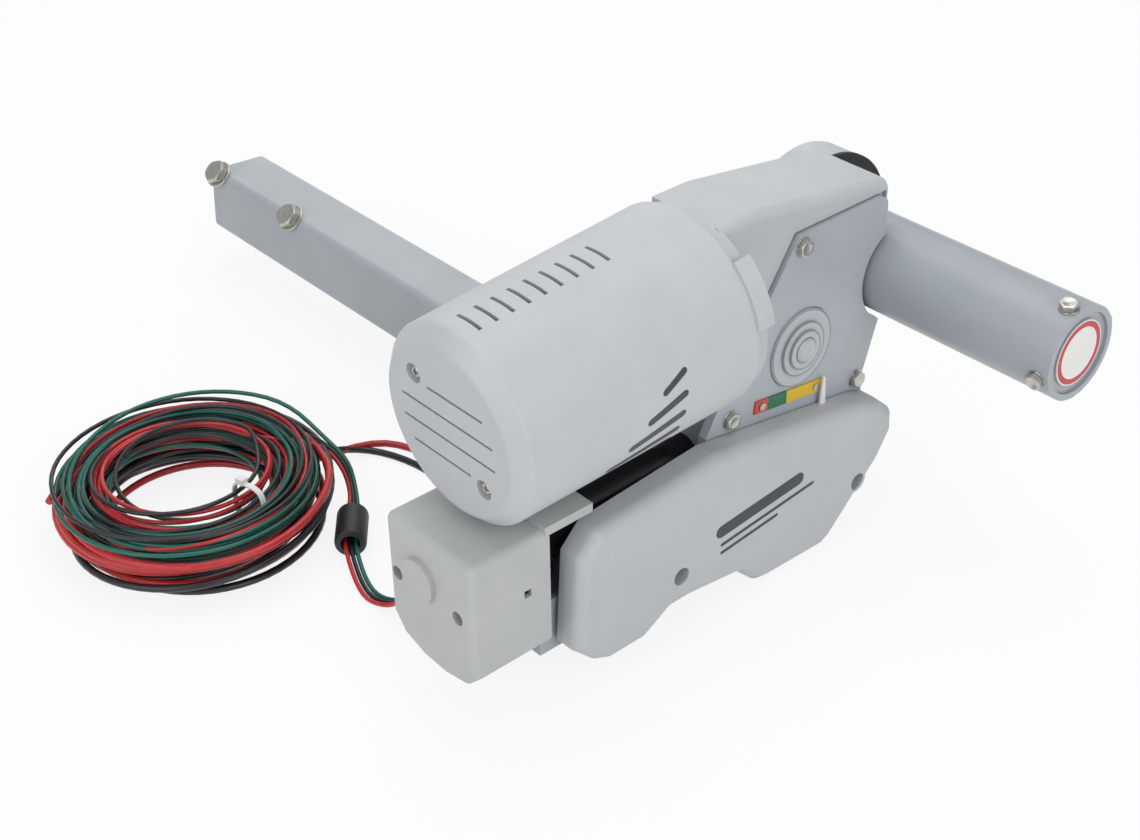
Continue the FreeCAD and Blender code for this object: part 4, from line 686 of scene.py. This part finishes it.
CAP_SCREW_SEAT = 167
BOX_SCREW_SEAT = -250
BOX_SCREW_Z = -66.5
COVER_SCREW_SEAT = 6.5

cap_mesh = bmesh.new()
for x, y in ((26.5, -25), (-26.5, 25)):
    cross_screw(cap_mesh, on_motor(x, y, CAP_SCREW_SEAT), -MOTOR_AXIS, radius=4.3, height=2.2)
finished_piece("cap_screw_heads", cap_mesh, ZINC, "carriage", "bright_steel", "cap_screws")

cover_mesh = bmesh.new()
for x in (-59.8, -5.5):
    cross_screw(cover_mesh, at(x, BOX_SCREW_SEAT, BOX_SCREW_Z), (0, -1, 0), radius=4.2, height=2)
for y, z in ((-116.4, -102.1), (41.2, -109.8)):
    cross_screw(cover_mesh, at(COVER_SCREW_SEAT, y, z), (1, 0, 0), radius=5.4, height=2.5)
finished_piece("cover_screw_heads", cover_mesh, ZINC, "base", "bright_steel", "cover_screws")

# %% [markdown]
# The rear half of the gear case follows its two gears: a round end about the roller's gear, a smaller one
# about the layshaft, and straight walls between them. For each direction, the wall's point is on the circle
# that reaches farthest that way. An inset moves the wall inwards, which gives the rounded rim and the inner
# side of the wall.

# %% Rear gear case
CASE_CIRCLES = ((ROLLER, 54.5), (PIN, 48))
CASE_POINTS = 96
CASE_WALL = 4
CASE_FRONT = -62
CASE_BACK = -90


def case_row(x, circles, inset=0):
    """One closed row of points round some circles, as a belt lies, at a place along the roller."""
    row = []
    for step in range(CASE_POINTS):
        angle = 2 * math.pi * step / CASE_POINTS
        outward = Vector((0, math.cos(angle), math.sin(angle)))
        centre, radius = max(circles, key=lambda circle: circle[0].dot(outward) + circle[1] * MM)
        place = centre + outward * (radius - inset) * MM
        row.append(Vector((at(x, 0, 0).x, place.y, place.z)))
    return row


inner_wall = ((CASE_BACK + 4, CASE_WALL + 2), (CASE_BACK + 5, CASE_WALL), (CASE_FRONT, CASE_WALL))
outer_wall = ((CASE_FRONT, 0.4), (CASE_FRONT - 0.4, 0), (CASE_BACK + 6, 0))
round_rim = ((CASE_BACK + 3, 0.8), (CASE_BACK + 0.8, 3), (CASE_BACK, 6))
case_mesh = bmesh.new()
skin(case_mesh, [case_row(x, CASE_CIRCLES, inset) for x, inset in inner_wall + outer_wall + round_rim])
finished_piece("gear_case_rear", case_mesh, CAST_PAINT, "carriage", "cast_grey", "gear_housing_rear")

# %% [markdown]
# The gasket between the halves is a black sheet, cut half a millimetre proud of the case, with a round hole
# for the roller's bearing. One circle alone gives that hole, so the same function makes both outlines.

# %% Gasket
GASKET_THICK = 3
GASKET_PROUD = 0.5
BEARING_HOLE = ((ROLLER, 29.4),)

gasket_front = CASE_FRONT + GASKET_THICK
gasket_mesh = bmesh.new()
skin(gasket_mesh, [case_row(CASE_FRONT, BEARING_HOLE), case_row(CASE_FRONT, CASE_CIRCLES, -GASKET_PROUD),
                   case_row(gasket_front, CASE_CIRCLES, -GASKET_PROUD), case_row(gasket_front, BEARING_HOLE)],
     loop=True)
finished_piece("gear_case_gasket", gasket_mesh, RUBBER, "carriage", "black_rubber", "housing_gasket")

# %% [markdown]
# ## Prints and small marks
#
# Printed marks are very thin pads of ink. A bar of ink with round ends is drawn on any surface that a
# function can give: the cone of the motor cover, its flat end, or the lower cover. The same bars make a
# black sheet of painted shade that shows through the vents, and painted shade at the bottom of the grooves.

# %% Ink bars
BAR_STEPS = 24
BAR_LANES = 9
INK_MM = 0.08
INK_SUNK = 0.02
COVER_RADIUS = 64
COVER_TAPER = 3.3 / 162
COVER_LENGTH = 170.5
GROOVE_DEPTH = 1.2
LOWER_COVER_FACE = 20


def bar(mesh, start, end, width, surface, thick=INK_MM):
    """A thin bar with round ends, from one place to another on a surface."""
    start, end = Vector(start), Vector(end)
    length = (end - start).length
    along = (end - start) / length
    across = Vector((-along.y, along.x))
    rows = []
    for step in range(BAR_STEPS + 1):
        travelled = length * (1 - math.cos(math.pi * step / BAR_STEPS)) / 2
        to_end = min(travelled, length - travelled, width / 2)
        half = max(math.sqrt((width / 2) ** 2 - (width / 2 - to_end) ** 2), 0.02)
        middle = start + along * travelled
        lanes = [middle + across * half * (2 * lane / (BAR_LANES - 1) - 1) for lane in range(BAR_LANES)]
        upper = [surface(spot.x, spot.y, thick) for spot in lanes]
        lower = [surface(spot.x, spot.y, -INK_SUNK) for spot in reversed(lanes)]
        rows.append(upper + lower)
    skin(mesh, rows)


def on_cover(distance, arc, lift):
    """A place on the cone of the motor cover: along the motor, and around it from its right side."""
    angle = arc / COVER_RADIUS
    radius = COVER_RADIUS - COVER_TAPER * distance + lift
    return on_motor(radius * math.cos(angle), radius * math.sin(angle), distance)


def on_cover_end(x, y, lift):
    """A place at the bottom of the grooves in the flat end of the motor cover."""
    return on_motor(x, y, COVER_LENGTH - GROOVE_DEPTH + INK_SUNK + lift)


def on_lower_cover(y, z, lift):
    return at(LOWER_COVER_FACE + lift, y, z)


INK = moulded_plastic("ink_dark_grey_print", "33383C", "3B4045", 0.5, 0.8, 0.004)
# Painted shade: a black sheet behind the vents stands for the shade inside the motor.
VENT_SHADE_BLACK = moulded_plastic("painted_shade_black_behind_vents", "101011", "17181A", 0.9, 0.9, 0.06)
# Painted shade: a dark grey for the bottoms of the grooves in the cover's end.
GROOVE_SHADE = moulded_plastic("painted_shade_in_grooves", "3A3C3E", "4C4E50", 0.85, 1.2, 0.03)

# %% [markdown]
# Pad printing puts dark ink on both covers after moulding. Here it is a plain pattern of bars: five on the
# motor cover, each shorter and thinner than the one below it, and one thick and two thin ones on the lower
# cover, at a slight slope.

# %% Prints on the covers
COVER_BARS = 5
FIRST_ARC = -56
ARC_STEP = 15
BAR_SLANT = 9
BAR_LOW_END = 116
BAR_HIGH_END = 54
BAR_SHORTER = 11
BAR_THINNER = 0.8
WIDEST_BAR = 7.5
THICK_BAR = 9
THIN_BAR = 2.4

cover_print = bmesh.new()
for number in range(COVER_BARS):
    arc = FIRST_ARC + ARC_STEP * number
    bar(cover_print, (BAR_LOW_END - BAR_SHORTER * number, arc), (BAR_HIGH_END, arc + BAR_SLANT),
        WIDEST_BAR - BAR_THINNER * number, on_cover)
finished_piece("motor_cover_print", cover_print, INK, "carriage", "motor_black")

lower_print = bmesh.new()
bar(lower_print, (-88, -86), (-12, -79), THICK_BAR, on_lower_cover)
bar(lower_print, (-84, -96), (-2, -88.5), THIN_BAR, on_lower_cover)
bar(lower_print, (-84, -102), (-34, -97.4), THIN_BAR, on_lower_cover)
finished_piece("lower_cover_print", lower_print, INK, "base", "motor_black")

# %% [markdown]
# Behind the vents lies a black sheet of painted shade, so that the slots look black, as the shade inside
# the motor makes them. The bottoms of the grooves in the cover's end carry thin strips of painted shade.

# %% Vents and grooves
VENT_ARC = COVER_RADIUS * math.pi / 2 - 1
SHADE_SHEET_DEPTH = 3.6
SHADE_SHEET_START = 54
SHADE_SHEET_END = 157
SHADE_SHEET_WIDTH = 28
GROOVE_UPPER = 21.2
GROOVE_PITCH = 14.2
GROOVE_WIDTH = 1.5


def under_cover(distance, arc, lift):
    return on_cover(distance, arc, lift - SHADE_SHEET_DEPTH)


# Painted shade: a black sheet laid under the vents.
vent_shade_mesh = bmesh.new()
bar(vent_shade_mesh, (SHADE_SHEET_START, VENT_ARC), (SHADE_SHEET_END, VENT_ARC), SHADE_SHEET_WIDTH, under_cover, thick=0.3)
finished_piece("vent_painted_shade_sheet", vent_shade_mesh, VENT_SHADE_BLACK, "carriage", "motor_black")

# Painted shade: dark strips laid at the bottom of each groove.
groove_mesh = bmesh.new()
for row, (low, high) in enumerate(((-15, 30.5), (-39, 37), (-39, 37.5), (-32.5, 15.5))):
    level = GROOVE_UPPER - GROOVE_PITCH * row
    bar(groove_mesh, (low, level), (high, level), GROOVE_WIDTH, on_cover_end)
finished_piece("groove_painted_shade", groove_mesh, GROOVE_SHADE, "carriage", "motor_black")

# %% [markdown]
# The end of the roller has a round white disc with a red ring. The disc is a very flat stack, and the ring is
# a closed stack whose top is a little higher than the disc, so that the two faces don't fight.

# %% Roller end
END_FACE_X = 135
RING_OUTSIDE = 20
RING_INSIDE = 16.6
RING_LOW = 0.1
RING_HIGH = 0.22

end_face = Vector((at(END_FACE_X, 0, 0).x, ROLLER.y, ROLLER.z))
sticker_mesh = bmesh.new()
stack(sticker_mesh, [(20.6, 0), (20.8, 0.08), (20.7, 0.16)], end_face, (1, 0, 0))
finished_piece("roller_end_sticker", sticker_mesh, NYLON_WHITE, "roller", "white_plastic")

ring_mesh = bmesh.new()
stack(ring_mesh, [(RING_OUTSIDE, RING_LOW), (RING_OUTSIDE, RING_HIGH), (RING_INSIDE, RING_HIGH),
                  (RING_INSIDE, RING_LOW)], end_face, (1, 0, 0), loop=True)
finished_piece("roller_end_ring", ring_mesh, PVC_RED, "roller", "red_pvc")

# %% [markdown]
# A ferrite core is a heavy sleeve of pressed oxide in a plastic skin. It lies on the ground, and the three
# thin wires go through it. Its profile is listed for one end, and mirrored for the other.

# %% Ferrite core
FERRITE_RADIUS = 10.5
FERRITE_BORE = 5.9
FERRITE_HALF = 16
FLOOR_GAP = 0.1

half_profile = [(FERRITE_BORE, FERRITE_HALF - 0.8), (FERRITE_BORE + 0.5, FERRITE_HALF),
                (FERRITE_RADIUS - 1.3, FERRITE_HALF), (FERRITE_RADIUS - 0.3, FERRITE_HALF - 1),
                (FERRITE_RADIUS, FERRITE_HALF - 2.5)]
whole_profile = [(radius, -height) for radius, height in half_profile] + half_profile[::-1]
ferrite_mesh = bmesh.new()
stack(ferrite_mesh, whole_profile, at(FERRITE.x, FERRITE.y, FLOOR_MM + FERRITE_RADIUS + FLOOR_GAP),
      (FERRITE_AXIS.x, FERRITE_AXIS.y, 0), loop=True)
finished_piece("ferrite_sleeve", ferrite_mesh, NYLON_BLACK, "base", "black_plastic", "ferrite_core")

# %% [markdown]
# The cable tie is a nylon strap about the inner turns of the coil, with its square lock on top. The strap is
# a flat section carried round a rounded square.

# %% Cable tie
TIE_ANGLE = math.radians(14)
TIE_INSIDE = 42
TIE_OUTSIDE = 66
TIE_LOW = 26
TIE_HIGH = 53
TIE_POINTS = 40
TIE_HALF_WIDTH = 1.8
TIE_THICK = 1.1
TIE_SQUARENESS = 0.6
LOCK_SIZE = (6, 5, 4)
LOCK_LIFT = 2.2
LOCK_INWARDS = 5
tie_out = Vector((math.cos(TIE_ANGLE), math.sin(TIE_ANGLE), 0))
tie_along = Vector((-tie_out.y, tie_out.x, 0))
tie_middle = Vector((COIL_CENTRE.x, COIL_CENTRE.y, FLOOR_MM + (TIE_LOW + TIE_HIGH) / 2)) + \
    tie_out * (TIE_INSIDE + TIE_OUTSIDE) / 2


def squared(value):
    """A sine or cosine pushed outwards, so that a circle becomes a rounded square."""
    return math.copysign(abs(value) ** TIE_SQUARENESS, value)


tie_section = ((0, -TIE_HALF_WIDTH), (0, TIE_HALF_WIDTH), (TIE_THICK, TIE_HALF_WIDTH),
               (TIE_THICK, -TIE_HALF_WIDTH))
tie_mesh = bmesh.new()
tie_rows = []
for step in range(TIE_POINTS):
    angle = 2 * math.pi * step / TIE_POINTS
    row = []
    for thick, wide in tie_section:
        outwards = squared(math.cos(angle)) * ((TIE_OUTSIDE - TIE_INSIDE) / 2 + thick)
        upwards = squared(math.sin(angle)) * ((TIE_HIGH - TIE_LOW) / 2 + thick)
        row.append(at(*(tie_middle + tie_out * outwards + tie_along * wide + Vector((0, 0, upwards)))))
    tie_rows.append(row)
skin(tie_mesh, tie_rows, loop=True)
lock = bmesh.ops.create_cube(tie_mesh, size=1)
lock_size = Matrix.Diagonal((*(side * MM for side in LOCK_SIZE), 1))
lock_lift = Vector((0, 0, (TIE_HIGH - TIE_LOW) / 2 + LOCK_LIFT))
lock_place = at(*(tie_middle + lock_lift - tie_out * LOCK_INWARDS))
bmesh.ops.transform(tie_mesh, verts=lock["verts"],
                    matrix=Matrix.Translation(lock_place) @ Matrix.Rotation(TIE_ANGLE, 4, "Z") @ lock_size)
finished_piece("coil_tie", tie_mesh, NYLON_WHITE, "base", "white_plastic", "cable_tie")

# %% [markdown]
# ## The ground and the light
#
# The photograph has a plain white ground. To the camera and in reflections, most of the floor's brightness is
# light of its own, and the rest is a plain white surface, so that it looks white but still takes a shadow. To
# all other light it is only the plain surface. The sky is white to the camera and dimmer to the object.

# %% Floor and backdrop
GLOW_SHARE = 0.86
FLOOR_REACH = 6
SKY_LIGHT = 0.5


def white_ground():
    material = bpy.data.materials.new("white_ground")
    material.use_nodes = True
    tree = material.node_tree
    tree.nodes.clear()
    path = add_node(tree, "ShaderNodeLightPath")
    glow = add_node(tree, "ShaderNodeEmission", Color=(1, 1, 1, 1), Strength=1.0)
    plain = add_node(tree, "ShaderNodeBsdfDiffuse", Color=(0.86, 0.86, 0.86, 1))
    seen = add_node(tree, "ShaderNodeMath", {"operation": "MAXIMUM"}, i0=path.outputs["Is Camera Ray"],
                    i1=path.outputs["Is Glossy Ray"])
    seen = add_node(tree, "ShaderNodeMath", {"operation": "MAXIMUM"}, i0=seen.outputs[0],
                    i1=path.outputs["Is Transmission Ray"])
    share = add_node(tree, "ShaderNodeMath", {"operation": "MULTIPLY"}, i0=seen.outputs[0], i1=GLOW_SHARE)
    both = add_node(tree, "ShaderNodeMixShader", i0=share.outputs[0], i1=plain.outputs[0], i2=glow.outputs[0])
    add_node(tree, "ShaderNodeOutputMaterial", Surface=both.outputs[0])
    return material


floor_mesh = bpy.data.meshes.new("floor")
floor_z = at(0, 0, FLOOR_MM).z
floor_corners = [(FLOOR_REACH * x, FLOOR_REACH * y, floor_z) for x, y in ((-1, -1), (1, -1), (1, 1), (-1, 1))]
floor_mesh.from_pydata(floor_corners, [], [(0, 1, 2, 3)])
floor = bpy.data.objects.new("floor", floor_mesh)
bpy.context.collection.objects.link(floor)
floor_mesh.materials.append(white_ground())

world = bpy.data.worlds.new("studio")
bpy.context.scene.world = world
world.use_nodes = True
world.node_tree.nodes.clear()
world_path = add_node(world.node_tree, "ShaderNodeLightPath")
seen_sky = add_node(world.node_tree, "ShaderNodeBackground", Color=(1, 1, 1, 1), Strength=1.0)
lit_sky = add_node(world.node_tree, "ShaderNodeBackground", Color=(0.95, 0.97, 1, 1), Strength=SKY_LIGHT)
sky_mix = add_node(world.node_tree, "ShaderNodeMixShader", i0=world_path.outputs["Is Camera Ray"],
                   i1=lit_sky.outputs[0], i2=seen_sky.outputs[0])
add_node(world.node_tree, "ShaderNodeOutputWorld", Surface=sky_mix.outputs[0])
print("floor at", round(floor_z, 4), "m")

# %% [markdown]
# Four large square lamps stand round the object and over it. A large lamp gives soft edges to shadows. Places
# and sides are in metres and power is in watts. The side lamp is strong, because the photograph is bright on
# the faces that look along the roller. The Standard view keeps the colours as they are set.

# %% Soft studio lights
LAMP_AIM = Vector((0, 0, 0.1))


def softbox(name, place, side, power):
    """A large square lamp that shines at the middle of the object."""
    lamp = bpy.data.lights.new(name, "AREA")
    lamp.shape = "SQUARE"
    lamp.size = side
    lamp.energy = power
    holder = bpy.data.objects.new(name, lamp)
    bpy.context.collection.objects.link(holder)
    start = Vector(place)
    holder.matrix_world = Matrix.Translation(start) @ \
        (LAMP_AIM - start).to_track_quat("-Z", "Y").to_matrix().to_4x4()
    print(name, "lamp:", power, "W")


softbox("top",(-0.2, 0.3, 1.9), side=1.6, power=14)
softbox("front", (0.2, -1.9, 1.0), side=1.5, power=11.5)
softbox("side", (1.9, -0.2, 0.9), side=1.4, power=12.5)
softbox("behind", (-1.6, 1.4, 1.0), side=1.4, power=8)
bpy.context.scene.view_settings.view_transform = "Standard"
